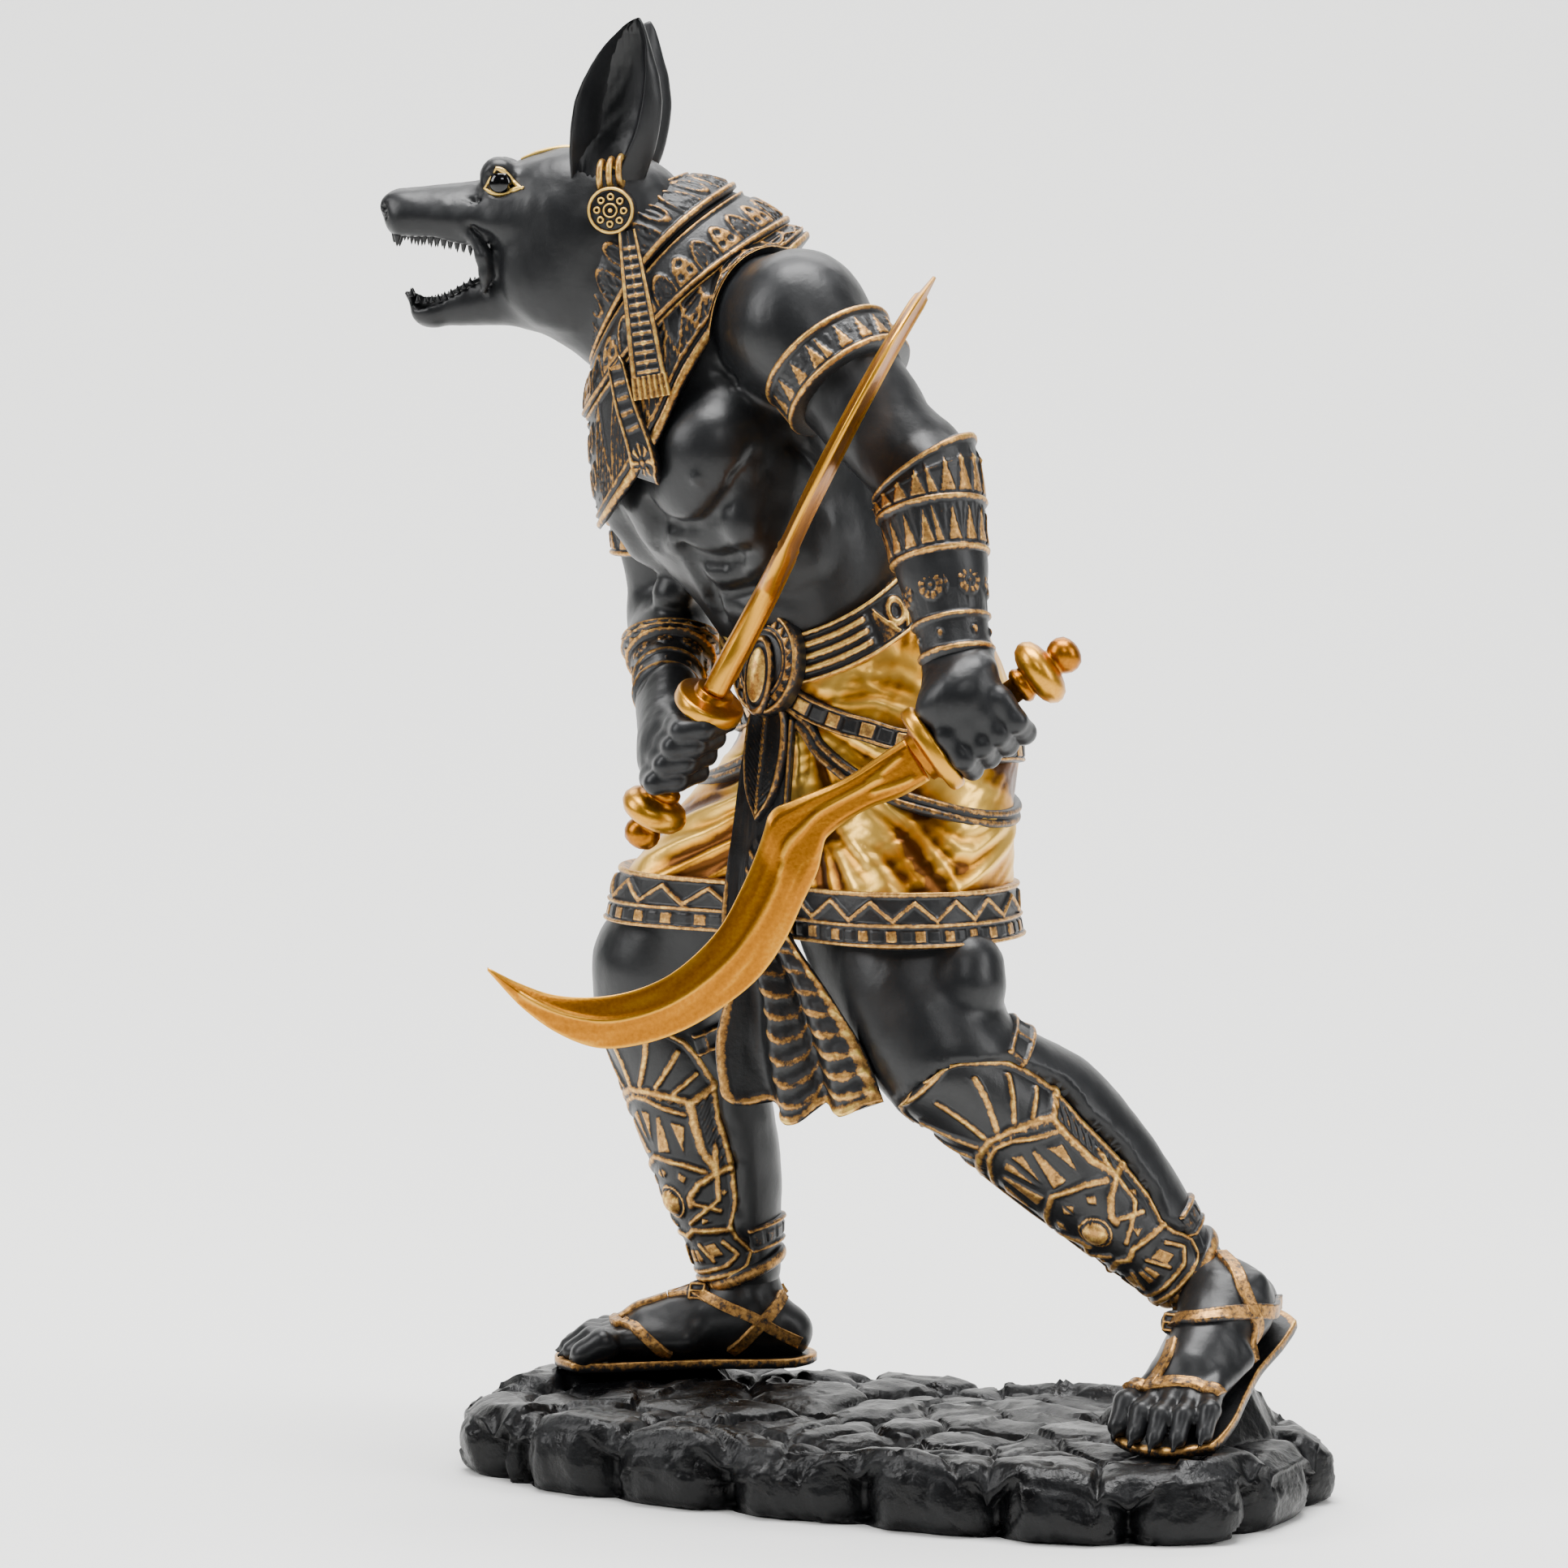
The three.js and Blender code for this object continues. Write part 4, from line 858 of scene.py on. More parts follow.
def fist_parts(side, out, down):
    """The back of the hand, four fingers curled round the grip, and the thumb laid over them."""
    out, down = unit(np.array(out)), unit(np.array(down))
    guard, pommel, _ = swords[side + "_khopesh"]
    along = unit(pommel - guard)
    middle = guard + along * 9.8

    def spot(to_pommel, outwards, downwards):
        return middle + along * to_pommel + out * outwards + down * downwards
    w = joints[side]["wrist"]
    parts = [rod(w, spot(0, 3.2, -5), 6.0, 5.4, 3, wide=along, flat=0.8),
             rod(spot(0, 3.0, -6.5), spot(0, 4.4, 0), 4.4, 3.4, 3, wide=along, flat=0.52)]
    for finger in range(4):
        q = (finger - 1.5) * 4.0
        parts += [rod(lerp(w, spot(q * 0.8, 3.2, -7), 0.45), spot(q, 5.4, -0.6), 1.2, 2.2, 1.6)]
        bends = [spot(q, 5.0, -0.4), spot(q, 5.6, 4.4), spot(q, 1.5, 7.4), spot(q, -4.0, 6.0), spot(q, -5.2, 1.8)]
        parts += strand(bends, [2.55, 2.35, 2.3, 2.15, 1.9], 0.5, first=1.0)
    bends = [lerp(w, spot(-4, 0, -6), 0.6), spot(-6.4, -1.5, -5), spot(-6.6, -5.4, -0.5), spot(-4, -6.8, 3.4)]
    parts += strand(bends, [4.0, 3.1, 2.6, 1.8], 1.2, first=2.5)
    return parts


flesh = dict(torso=torso_parts() + arm_parts("left") + arm_parts("right"), head=head_parts,
             left_fist=fist_parts("left", (0, -1.0, 0), (0.58, 0, -0.81)),
             right_fist=fist_parts("right", (-0.8, -0.55, -0.2), (0.25, -0.95, -0.1)))
for side in sides:
    flesh[side + "_leg"] = leg_parts(side)
    flesh[side + "_foot"] = foot_parts(side)

enamel, tree, surface = finish_named("satin_black_enamel_on_resin", Specular_IOR_Level=0.36)
# Black enamel with a soft sheen over cast resin: broad grey highlights, a faint orange peel, a patchy tone.
place = add(tree, "TexCoord")
cloud = add(tree, "TexNoise", [("Vector", place, "Object")], in_Scale=90.0, in_Detail=5.0)
shade = add(tree, "ValToRGB", [("Fac", cloud, "Fac")], stops=[(0.3, "#0f1012"), (0.75, "#1a1b1d")])
sheen = add(tree, "MapRange", [("Value", cloud, "Fac")], in_3=0.3, in_4=0.46)
peel = add(tree, "TexNoise", [("Vector", place, "Object")], in_Scale=700.0, in_Detail=3.0)
bump = add(tree, "Bump", [("Height", peel, "Fac")], in_Strength=0.12, in_Distance=0.0004)
feed(tree, surface, Base_Color=(shade, "Color"), Roughness=(sheen, "Result"), Normal=(bump, "Normal"))

greave_form = np.array([
    (-0.12, 6.4, 6.6, 5.6), (-0.02, 9.9, 8.8, 3.8), (0.08, 11.0, 10.2, 1.8), (0.32, 10.8, 10.6, 1.0),
    (0.62, 8.8, 9.6, 1.2), (0.94, 6.8, 7.2, 1.9), (1.06, 6.6, 6.7, 2.2)])
greave_reach = np.array([
    (-0.07, 10), (-0.05, 48), (-0.02, 62), (0.1, 86), (0.28, 100), (0.4, 92), (0.58, 94), (0.73, 88), (0.81, 74),
    (0.86, 78), (0.93, 96), (0.97, 84), (1.0, 46), (1.005, 12)])


def greave_frame(side):
    """The greave's own axes: down the shin, to its front, and across; and the shin's length in mm."""
    own = joints[side]
    shin = own["ankle"] - own["knee"]
    along = unit(shin)
    deep = unit(own["shin_front"] - along * (own["shin_front"] @ along))
    return along, deep, np.cross(along, deep), np.linalg.norm(shin)


def greave_size(s):
    """Half-width, depth and shift to the front of the greave at each share of the shin."""
    return [curve_through(greave_form[:, 0], greave_form[:, k], s.ravel()).reshape(s.shape) for k in (1, 2, 3)]


def under_greave(side, p):
    """How far the leg must sink so that it stays a millimetre below the greave, and 0 outside it."""
    along, deep, wide, length = greave_frame(side)
    s = (p - joints[side]["knee"]) @ along / length
    w, d, ahead = greave_size(np.clip(s, -0.12, 1.06))
    q = p - placed(joints[side]["knee"], (s * length, along), (ahead, unit(joints[side]["shin_front"])))
    a = np.arctan2(q @ wide / w, q @ deep / d)
    turn = np.abs((np.degrees(a) + 25 + 180) % 360 - 180)
    inside = step(0, 6, np.interp(s, greave_reach[:, 0], greave_reach[:, 1], left=0, right=0) - 4 - turn)
    over = np.hypot(q @ wide / w, q @ deep / d) * (w + d) / 2 - (w + d) / 2 + 1.2
    return -np.clip(over, 0, 7) * inside


def brushed(p):
    """The unevenness left by the modeller's brush: long shallow swellings and fine streaks."""
    return 0.5 * (grain(p, 7, 71) - 0.5) + 0.16 * (grain(p * [1, 1, 0.35], 1.6, 72) - 0.5)


body_cells = dict(head=0.76, torso=1.27, left_fist=0.6, right_fist=0.66, left_leg=1.3, right_leg=1.3,
                  left_foot=0.66, right_foot=0.7)
for name, cell in body_cells.items():
    side = name.split("_")[0]
    piece = skinned(name, flesh[name], cell, lambda p: brushed(p) + (under_greave(side, p) if "leg" in name else 0))
    dressed(piece, enamel)

# Ears, teeth and eyes
# The tall ears are cups set on the head with their mouths to the side. Small cast teeth line both jaws; the
# eye is a glossy black bead between lids that are picked out in bright gold.


def ring_curve(corners, count):
    """A closed smooth line through the corners, evenly spaced in parameter."""
    corners = np.concatenate([corners[-2:], corners, corners[:3]])
    at = np.linspace(0, len(corners) - 5, count, endpoint=False)
    return curve_through(np.arange(len(corners)) - 2.0, corners, at)


ear_rows = np.array([
    (2.0, -3.4, -17.0, -13.0, 9.5), (6, -3.2, -18.2, -13.0, 10.6), (9.9, -3.1, -19.7, -14.6, 11.4),
    (13.1, -3.3, -20.5, -16.0, 11.9), (16.8, -3.7, -21.1, -17.0, 12.2), (19.9, -4.3, -21.3, -17.6, 12.3),
    (22.7, -5.3, -21.0, -17.9, 12.3), (25.4, -6.6, -20.6, -18.1, 12.3), (28.4, -8.3, -19.7, -18.0, 12.2),
    (30.9, -10.1, -19.0, -18.0, 12.1), (33.3, -12.4, -18.3, -17.6, 12.0), (35.0, -14.3, -17.7, -17.2, 11.9),
    (35.9, -15.9, -17.2, -16.8, 11.8), (36.15, -16.6, -17.0, -16.8, 11.8)])


def ear(side):
    """Crescent sections from the base to the tip: round the back, over the rear rim, and through the bowl."""
    up = 2 + 34.15 * np.sin(np.linspace(0, 1, 72) * np.pi / 2)
    front, rear, lip, out = curve_through(ear_rows[:, 0], ear_rows[:, 1:], up).T
    wide = front - rear
    deep = (0.36 - 0.1 * step(26, 35, up)) * wide
    hollow = capped((up - 4.5) / 9) * capped((36.2 - up) / 3)
    rim = np.minimum(0.8, wide / 6)
    ahead = np.stack([front - 0.3 * rim, front - 0.3 * wide, front - 0.7 * wide, rear, lip - 0.4 * rim, lip + rim,
                      0.55 * front + 0.45 * lip, front - 1.3 * rim], -1)
    aside = np.stack([out + rim, out - 0.75 * deep, out - deep, out - 0.3 * deep, out + rim,
                      out - 0.25 * deep * hollow, out - (0.86 * deep - 0.6) * hollow + 1.2 * (1 - hollow) * rim,
                      out - 0.45 * deep * hollow], -1)
    section = np.stack([ahead, aside], -1)
    line = np.stack([ring_curve(row, 56) for row in section])
    streaks = 0.16 * np.sin(line[..., 0] * 5 + 2 * np.sin(up / 4)[:, None]) * (np.arange(56) > 34)
    p = in_head(line[..., :1], side * (line[..., 1:] + streaks[..., None]), up[:, None, None])
    return p, False, True, {}


def once_round(rows, columns):
    """Each row's value over the columns, and the angle of each column once round, as two grids."""
    return np.meshgrid(rows, np.linspace(0, 2 * np.pi, columns, endpoint=False), indexing="ij")


def thorn(foot, tip, radius):
    """A small pointed tooth from its foot to its tip, slightly swollen in the middle."""
    t, a = once_round([0.0, 0.3, 0.6, 0.85, 1.0], 9)
    along = unit(tip - foot)
    first = unit(np.cross(along, [0.2, 0.9, 0.3]))
    r = radius * (1 - t) ** 0.8 + 0.02
    p = placed(foot, (t, tip - foot), (r * np.cos(a), first), (r * np.sin(a), np.cross(along, first)))
    return p, False, True, {}


def teeth(side):
    """Rows of (ahead, out, up, length, radius) in the head's axes: front teeth and fangs, then the row behind."""
    upper = ([(33.0, 0.9, -5.8, 2.1, 0.7), (32.2, 2.2, -5.8, 2.9, 0.95), (30.6, 2.7, -5.6, 1.9, 0.65)]
             + [(29.2 - 1.33 * k, 2.9 + 0.2 * k, -5.4 - 0.05 * k - 0.02 * k * k, 2.9 + 0.25 * (k % 2), 0.72)
                for k in range(10)])
    lower = ([(29.6, 1.4, -18.6, 1.9, 0.7), (28.2, 2.4, -19.8, 1.7, 0.6)]
             + [(26.6 - 1.3 * k, 2.7 + 0.2 * k, -19.9 + 0.16 * k + 0.055 * k * k, 1.5, 0.6) for k in range(8)])
    return [thorn(in_head(a, side * o, u), in_head(a + ahead, side * (o - inward), u + way * h), r)
            for row, ahead, inward, way in ((upper, 0.2, 0.1, -1), (lower, 0.1, 0.2, 1)) for a, o, u, h, r in row]


for name, side in sides.items():
    dressed(joined(name + "_ear", [ear(side)]), enamel)
    dressed(joined(name + "_teeth", teeth(side)), enamel)

eye_black = finish_named("gloss_black_glass_bead", Base_Color=linear("#050506"), Roughness=0.08)[0]
# Two coats of gloss varnish over black: one small sharp window of light, the rest near black.
bead_row = np.concatenate([[0.01], np.sin(np.linspace(0.1, np.pi - 0.1, 24)), [0.01]])
bead_line = np.stack([bead_row, -np.cos(np.linspace(0, np.pi, 26))], -1)
for name, side in sides.items():
    middle = in_head(11.0, side * 7.4, 3.9)
    eyeball = turned(middle, middle + head_way[1] * side, bead_line * [2.5, 1.9], 40)
    dressed(joined(name + "_eye", [(eyeball, False, True, {})]), eye_black)

# The kilt
# A linen kilt cast with the figure: wrapped round the hips, pulled up in folds to the buckle and held by two
# straps. Painted bright metallic gold, with painted shade in brown where the folds sink and a painted highlight
# in pale yellow where they stand up.


def bead(d, half):
    """A rounded ridge of the given half-width, 1 high at its middle."""
    return np.maximum(1 - (d / half) ** 2, 0) ** 0.7


def tile(x, pitch):
    """The distance from the middle of the pattern's cell."""
    return (x + pitch / 2) % pitch - pitch / 2


def grid_normals(p, wrap=True):
    """Unit normals of a grid of points from the steps along its rows and columns; those of a closed band
    face away from its middle."""
    down = np.gradient(p, axis=0)
    across = (np.roll(p, -1, 1) - np.roll(p, 1, 1)) if wrap else np.gradient(p, axis=1)
    n = np.cross(across, down)
    n = n / np.maximum(np.linalg.norm(n, axis=-1, keepdims=True), 1e-9)
    return -n if wrap and ((p - p.mean((0, 1))) * n).sum() < 0 else n


def to_line(x, y, line):
    """The distance of each point to a line of points in the same plane, and how far along it lies, in mm."""
    best, where, run = np.full(np.shape(x), 1e9), np.zeros(np.shape(x)), 0.0
    for a, b in zip(line[:-1], line[1:]):
        dx, dy = b[0] - a[0], b[1] - a[1]
        length = math.hypot(dx, dy)
        t = capped(((x - a[0]) * dx + (y - a[1]) * dy) / length ** 2)
        d = np.hypot(x - a[0] - t * dx, y - a[1] - t * dy)
        where = np.where(d < best, run + t * length, where)
        best = np.minimum(best, d)
        run += length
    return best, where / run


kilt_levels = np.array([
    (182, -12.3, 20, 20, 19, 0.7, 0), (174, -9.8, 20, 22.4, 21.4, 0.65, 0), (161, -4, 20, 26.6, 23.5, 0.4, 0),
    (146, -3.6, 20, 31.5, 24.4, 0.2, 0.15), (130, -11, 17.8, 39.4, 21.2, 0.05, 0.45),
    (120, -15.3, 17, 43.4, 19.7, 0, 0.8), (110.5, -16.0, 17, 45.6, 19.6, 0, 0.95)])


def on_kilt(z, turn):
    """A point of the kilt's shell: at a level, and turned by some degrees from the buckle over the left hip."""
    z, turn = np.broadcast_arrays(np.asarray(z, float), np.asarray(turn, float))
    level = curve_through(-kilt_levels[:, 0], kilt_levels[:, 1:], -z.ravel()).reshape(z.shape + (6,))
    x, y, wide, deep, fall, pinch = np.moveaxis(level, -1, 0)
    c, s = np.sin(np.radians(turn)), np.cos(np.radians(turn))
    forward = deep * s * (1 + 0.6 * pinch - 0.85 * pinch * s ** 4)
    behind = np.interp(z, [110, 120, 130, 146, 161], [29, 28, 19, 5, 0])
    forward = forward + np.minimum(s, 0) * behind * (0.22 + 0.78 * step(0.15, -0.75, c))
    x = x + 7 * np.minimum(s, 0) * step(0.1, -0.5, c) * step(161, 130, z)
    place = np.stack([x, y, z - fall * forward], -1)
    return placed(place, (forward, hip_way[0]), (wide * c, hip_way[1]))


near_folds = [
    ([(23, 175.5), (44, 177), (62, 174.5), (74, 168)], 0.8, 2.6),
    ([(27, 173), (44, 173.5), (62, 169), (70, 160)], 0.8, 2), ([(28, 171.5), (47, 169.5), (60, 163)], 0.7, 1.7),
    ([(30, 168), (45, 166), (58, 159)], 0.7, 1.5), ([(29, 136.5), (47, 131), (60, 124.5), (68, 121)], 1, 1.6),
    ([(38, 142), (53, 135), (63, 129.5), (73, 125), (78, 121.5)], 1.5, 1.7),
    ([(78, 121.5), (90, 125), (105, 129), (118, 133)], 1.3, 1.8),
    ([(52, 139), (64, 133.5), (75, 129.5), (82, 128.7), (92, 131), (110, 134)], 1.1, 1.6),
    ([(62, 137.5), (76, 133.5), (88, 134), (100, 135.5)], 0.8, 1.4),
    ([(23, 136), (36, 130), (46, 125.5), (54, 121.5)], 1.1, 1.5), ([(22, 132), (32, 126), (41, 120.5)], 1.1, 1.3),
    ([(19, 131), (26, 124), (30, 119)], 1, 1.2), ([(14, 130), (19, 122), (21, 118)], 0.8, 1.2),
    ([(26, 141), (44, 134.5), (56, 129)], 0.7, 1.2), ([(4, 162), (2, 146)], 0.8, 0.9),
    ([(8, 161), (8, 147)], 0.9, 0.9), ([(12, 158), (17, 146)], 0.9, 0.9),
    ([(17, 159.5), (29, 152.5), (42, 148.5)], 0.7, 1.3), ([(22, 161), (36, 154), (52, 149.5)], 0.7, 1.2),
    ([(62, 150), (80, 146), (110, 139)], 0.7, 1.6), ([(66, 144.5), (90, 140), (116, 135)], 0.6, 1.5),
    ([(-12, 144), (-28, 138), (-50, 132)], 0.9, 1.5), ([(-14, 149), (-30, 143), (-52, 138)], 0.9, 1.5),
    ([(-12, 138), (-27, 131), (-46, 124)], 0.9, 1.5), ([(-10, 132), (-22, 126), (-36, 120)], 0.9, 1.4),
    ([(-9, 126), (-18, 120)], 0.8, 1.2), ([(-16, 155), (-36, 150), (-58, 147)], 0.8, 1.6),
    ([(-18, 161), (-40, 158), (-66, 157)], 0.8, 1.8)]
kilt_mm = 0.5


def kilt_folds(z, turn):
    """Ridges along the measured fold lines, soft waves radiating from the buckle elsewhere, fine creases."""
    x = turn * kilt_mm
    p = level_with(x, z)
    radial = np.arctan2(x, 172 - z)
    waves = 0.55 * np.sin(15 * radial + 2.5 * grain(p, 18, 31)) * step(168, 150, z)
    back = 0.6 * np.sin(turn / 7 + (z - 110) / 9 + 4 * grain(p, 25, 34)) * step(120, 160, np.abs(turn))
    creases = 0.35 * (grain(p * [1, 1, 0] @ turned_by(35), 1.2, 33) - 0.5)
    h = waves * step(150, 110, np.abs(turn)) + back + creases
    for line, height, width in near_folds:
        d, t = to_line(x, z, np.array(line) * [kilt_mm, 1])
        taper = np.sin(np.pi * capped(0.15 + 0.8 * t)) ** 0.6
        h = h + height * taper * (np.exp(-(d / width) ** 2) - 0.4 * np.exp(-(d / (2.2 * width)) ** 2))
    return h


def turned_by(degrees):
    """A rotation of the pattern's plane that also stretches it fivefold along its new first axis."""
    a = math.radians(degrees)
    return np.array([[math.cos(a) / 5, -math.sin(a), 0], [math.sin(a) / 5, math.cos(a), 0], [0, 0, 1]])


def round_kilt(top, bottom, rows, columns):
    """Rows from one level or share to another and columns of turn once round, as two grids."""
    turns = np.linspace(-180, 180, columns, endpoint=False)
    return np.meshgrid(np.linspace(top, bottom, rows), turns, indexing="ij")


z, turn = round_kilt(176, 117, 92, 276)
shell = on_kilt(z, turn)
fold = kilt_folds(z, turn)
shell = placed(shell, (fold, grid_normals(shell)))

linen_gold, tree, surface = finish_named("bright_gold_paint_on_cast_linen", Metallic=0.84, Roughness=0.34)
# Bright metallic gold, brushed on in random patches: painted shade in brown where folds sink, and a painted
# highlight in yellow where they stand up.
# The attribute high is the fold height; it paints shade into sunken folds and a highlight onto raised ones.
high = add(tree, "Attribute", attribute_name="high")
place = add(tree, "TexCoord")
cloud = add(tree, "TexNoise", [("Vector", place, "Object")], in_Scale=130.0, in_Detail=5.0)
level = add(tree, "Math", [(0, cloud, "Fac"), (1, high, "Fac")], operation="ADD")
shade = add(tree, "ValToRGB", [("Fac", level, "Value")],
            stops=[(0.05, "#5a3206"), (0.4, "#cd8c1c"), (0.95, "#f8c658")])
bump = add(tree, "Bump", [("Height", cloud, "Fac")], in_Strength=0.3, in_Distance=0.0008)
feed(tree, surface, Base_Color=(shade, "Color"), Normal=(bump, "Normal"))
# The fold heights go with the kilt as its painted shade and highlight.
dressed(joined("kilt", [(shell, False, True, dict(high=fold))]), linen_gold)

# Belt, hem and straps of the kilt
# Raised bands cast on the cloth: black enamel, with bronze-gold dry-brushed over everything that stands up.

gilt_resin, tree, surface = finish_named("black_resin_dry_brushed_with_bronze_gold", Roughness=0.4)
# The brush leaves dull gold on ridges and misses the hollows; where it is thin the black shows through.
gilt = add(tree, "Attribute", attribute_name="gilt")
place = add(tree, "TexCoord")
cloud = add(tree, "TexNoise", [("Vector", place, "Object")], in_Scale=900.0, in_Detail=6.0, in_Roughness=0.65)
rest = add(tree, "MapRange", [("Value", cloud, "Fac")], in_1=0.3, in_2=0.7, in_3=-0.26, in_4=0.26)
level = add(tree, "Math", [(0, gilt, "Fac"), (1, rest, "Result")], operation="ADD")
cover = add(tree, "MapRange", [("Value", level, "Value")], in_1=0.4, in_2=0.62)
shade = add(tree, "ValToRGB", [("Fac", level, "Value")],
            stops=[(0.4, "#5b3d1c"), (0.8, "#bf8f50"), (1.0, "#f0c96c")])
paint = add(tree, "Mix", [("Factor", cover, "Result"), (7, shade, "Color")], data_type="RGBA",
            in_6=linear("#101113"))
tree.links.new(paint.outputs[2], surface.inputs["Base Color"])
metal = add(tree, "Math", [(0, cover, "Result")], operation="MULTIPLY", in_1=0.85)
bump = add(tree, "Bump", [("Height", cloud, "Fac")], in_Strength=0.25, in_Distance=0.0004)
feed(tree, surface, Metallic=(metal, "Value"), Normal=(bump, "Normal"))


def worn(name, grids):
    """A piece of gilt relief from grids whose points are already in place."""
    return dressed(joined(name, grids), gilt_resin)


def band_on_kilt(top, bottom, lift, relief, rows, columns, tuck=2.5):
    """A closed band on the kilt's shell between two levels; relief(t, turn) gives height and gilt, t from
    0 at its top to 1 at its bottom."""
    t, turn = round_kilt(0, 1, rows, columns)
    shell = on_kilt(top + (bottom - top) * t, turn)
    height, gilt = relief(t, turn)
    edge = np.where((t == 0) | (t == 1), -tuck, 0)
    return placed(shell, (lift + height + edge, grid_normals(shell))), False, True, dict(gilt=gilt)


def belt_relief(t, turn):
    """Rails at both edges; three ribs from the buckle over the hip, then a row of triangles."""
    far = np.abs(turn)
    rail = bead(t - 0.05, 0.06) + bead(t - 0.96, 0.05)
    ribs = sum(bead(t - c, 0.08) for c in (0.27, 0.5, 0.73)) * step(61, 57, far)
    x = tile(far * 0.42, 9)
    tri = np.clip((t - 0.16) / 0.68 - np.abs(x) / 4.0, -1, 1)
    scroll = bead(np.hypot(tile(far * 0.42 + 4.5, 9) / 2.2, (t - 0.5) / 0.3) - 0.75, 0.3)
    motif = (step(0, 0.12, tri) * (1 - 0.5 * step(0.2, 0.32, tri)) + scroll) * (t < 0.88) * (t > 0.12)
    up = capped(rail + ribs + motif * step(62, 64, far))
    return 0.9 * up, up


def hem_relief(t, turn):
    """From the top: a lumpy roll, a zigzag, a line, a row of blocks of which every other is gilt, a line."""
    x = turn * 0.62
    roll = bead(t - 0.06, 0.07)
    zig = np.abs(tile(x, 9.4)) / 4.7
    zigzag = bead((t - 0.2) / 0.32 - zig, 0.21) * ((t > 0.14) & (t < 0.56))
    line = bead(t - 0.6, 0.045) + bead(t - 0.95, 0.05)
    block = np.where(np.abs(tile(x - 1.55, 3.1)) < 1.2, 1, 0.0) * step(0.66, 0.69, t) * step(0.9, 0.87, t)
    bright = np.where(np.floor(x / 3.1) % 2 == 0, 0.72, 0.12)
    up = capped(roll + zigzag + line)
    return 0.9 * up + 0.45 * block, capped(0.85 * up + block * bright)


worn("belt", [band_on_kilt(183, 174, 1.0, belt_relief, 40, 420)])
worn("hem", [band_on_kilt(121.5, 110.4, 0.9, hem_relief, 38, 480, 3.5)])


def strip(path, normals, half, rows, relief, lift=0.6, tuck=1.4, project=None):
    """A closed strip along a line of points: relief(s, x) gives height and gilt from the distance along, s,
    and the distance from the middle, x, in mm. Both long edges and both ends are tucked in."""
    along = unit(np.gradient(path, axis=0))
    across = unit(np.cross(normals, along))
    s = np.concatenate([[0], np.cumsum(np.linalg.norm(np.diff(path, axis=0), axis=1))])
    t = np.linspace(-1, 1, rows)[:, None]
    x = t * np.broadcast_to(half, s.shape)
    s = np.broadcast_to(s, x.shape)
    points = placed(path, (x, across))
    out = np.broadcast_to(normals, points.shape)
    if project is not None:
        points, out = project(points)
    height, gilt = relief(s, x)
    end = (np.abs(t) > 0.999) | (s <= 0) | (s >= s.max() - 1e-9)
    height = np.where(end, -tuck - lift, height)
    return placed(points, (lift + height, out)), False, False, dict(gilt=gilt)


def kilt_path(line, count):
    """Points and normals on the kilt along a line of (turn, level)."""
    line = resample(np.array(line, float) * [kilt_mm, 1], count) / [kilt_mm, 1]
    turn, level = line.T
    p = on_kilt(level, turn)
    return p, unit(np.cross(on_kilt(level - 0.5, turn) - p, on_kilt(level, turn + 0.5) - p))


def stud_strap(s, x):
    """Two rails and a row of square studs between them, every other one gilt."""
    rail = bead(np.abs(x) - 1.95, 0.42)
    stud = (np.abs(tile(s, 3.6)) < 1.35) * (np.abs(x) < 1.25)
    bright = np.where(np.floor((s + 1.8) / 3.6) % 2 == 0, 0.8, 0.2)
    return 0.55 * rail + 0.5 * stud, 0.8 * rail + stud * bright


def plain_strap(s, x):
    """Two worn rolls side by side."""
    roll = bead(np.abs(x) - 0.95, 0.85)
    return 0.7 * roll, 0.62 * roll


strap_lines = {
    "left": ([(6, 175), (14, 169.5), (20, 165.5), (27, 162), (35, 159.5), (44, 156.5), (64, 152.5), (79, 149.5),
              (105, 146), (125, 144), (150, 146), (180, 150)],
             [(4, 168), (8, 163), (12, 156), (19, 151.5), (25, 148.5), (35, 145), (46, 142), (60, 139), (72, 136.8),
              (100, 134), (125, 134), (150, 136), (180, 140)], 300, 20),
    "right": ([(-8, 172), (-30, 163), (-70, 154), (-110, 149), (-150, 148), (-182, 150)],
              [(-8, 160), (-30, 149), (-70, 140), (-110, 136), (-150, 137), (-182, 140)], 240, 16)}
for side, (stud_line, plain_line, count, rows) in strap_lines.items():
    worn("stud_strap_" + side, [strip(*kilt_path(stud_line, count), 2.6, rows, stud_strap)])
    worn("plain_strap_" + side, [strip(*kilt_path(plain_line, count), 2.0, rows, plain_strap)])

# The buckle
# A round plate over the knot with a tall oval boss, and below it a five-sided tab with hatching.
# Cast with the belt, black with gold dry-brushed on rims, triangles and boss.


def plate_relief(r, a):
    """Rim, ring of triangles, inner ring, flat field; r from 0 to 1, a the angle."""
    rim = bead(r - 0.93, 0.06)
    inner = bead(r - 0.64, 0.045)
    x = tile(a, 2 * np.pi / 20) / (np.pi / 20)
    tri = (1 - np.abs(x) > (r - 0.69) / 0.2) * (r > 0.7) * (r < 0.88)
    return 0.8 * rim + 0.5 * inner + 0.45 * tri, capped(0.85 * rim + 0.6 * inner + 0.7 * tri)


def upright(out):
    """The unit way out, the way up that is square to it, and the way to the side."""
    out = unit(np.asarray(out, float))
    up = unit(np.array([0, 0, 1.0]) - out * out[2])
    return out, up, np.cross(up, out)


def disc_on(centre, out, wide, tall, relief, rows=36, columns=140, dome=1.0, tuck=2.5):
    """A closed disc facing out, domed, with radial relief; its rim is tucked back."""
    out, up, side = upright(out)
    r, a = once_round(np.linspace(0.001, 1, rows), columns)
    height, gilt = relief(r, a)
    height = height + dome * (1 - r ** 2)
    height[-1] = -tuck
    p = placed(centre, (r * np.cos(a) * wide, side), (r * np.sin(a) * tall, up), (height, out))
    return p, False, True, dict(gilt=gilt)


buckle_out = unit(hip_way[0] + [0, 0, 0.15])
buckle = np.array([-10, 20, 165]) + hip_way[0] * 23.6 + hip_way[1]


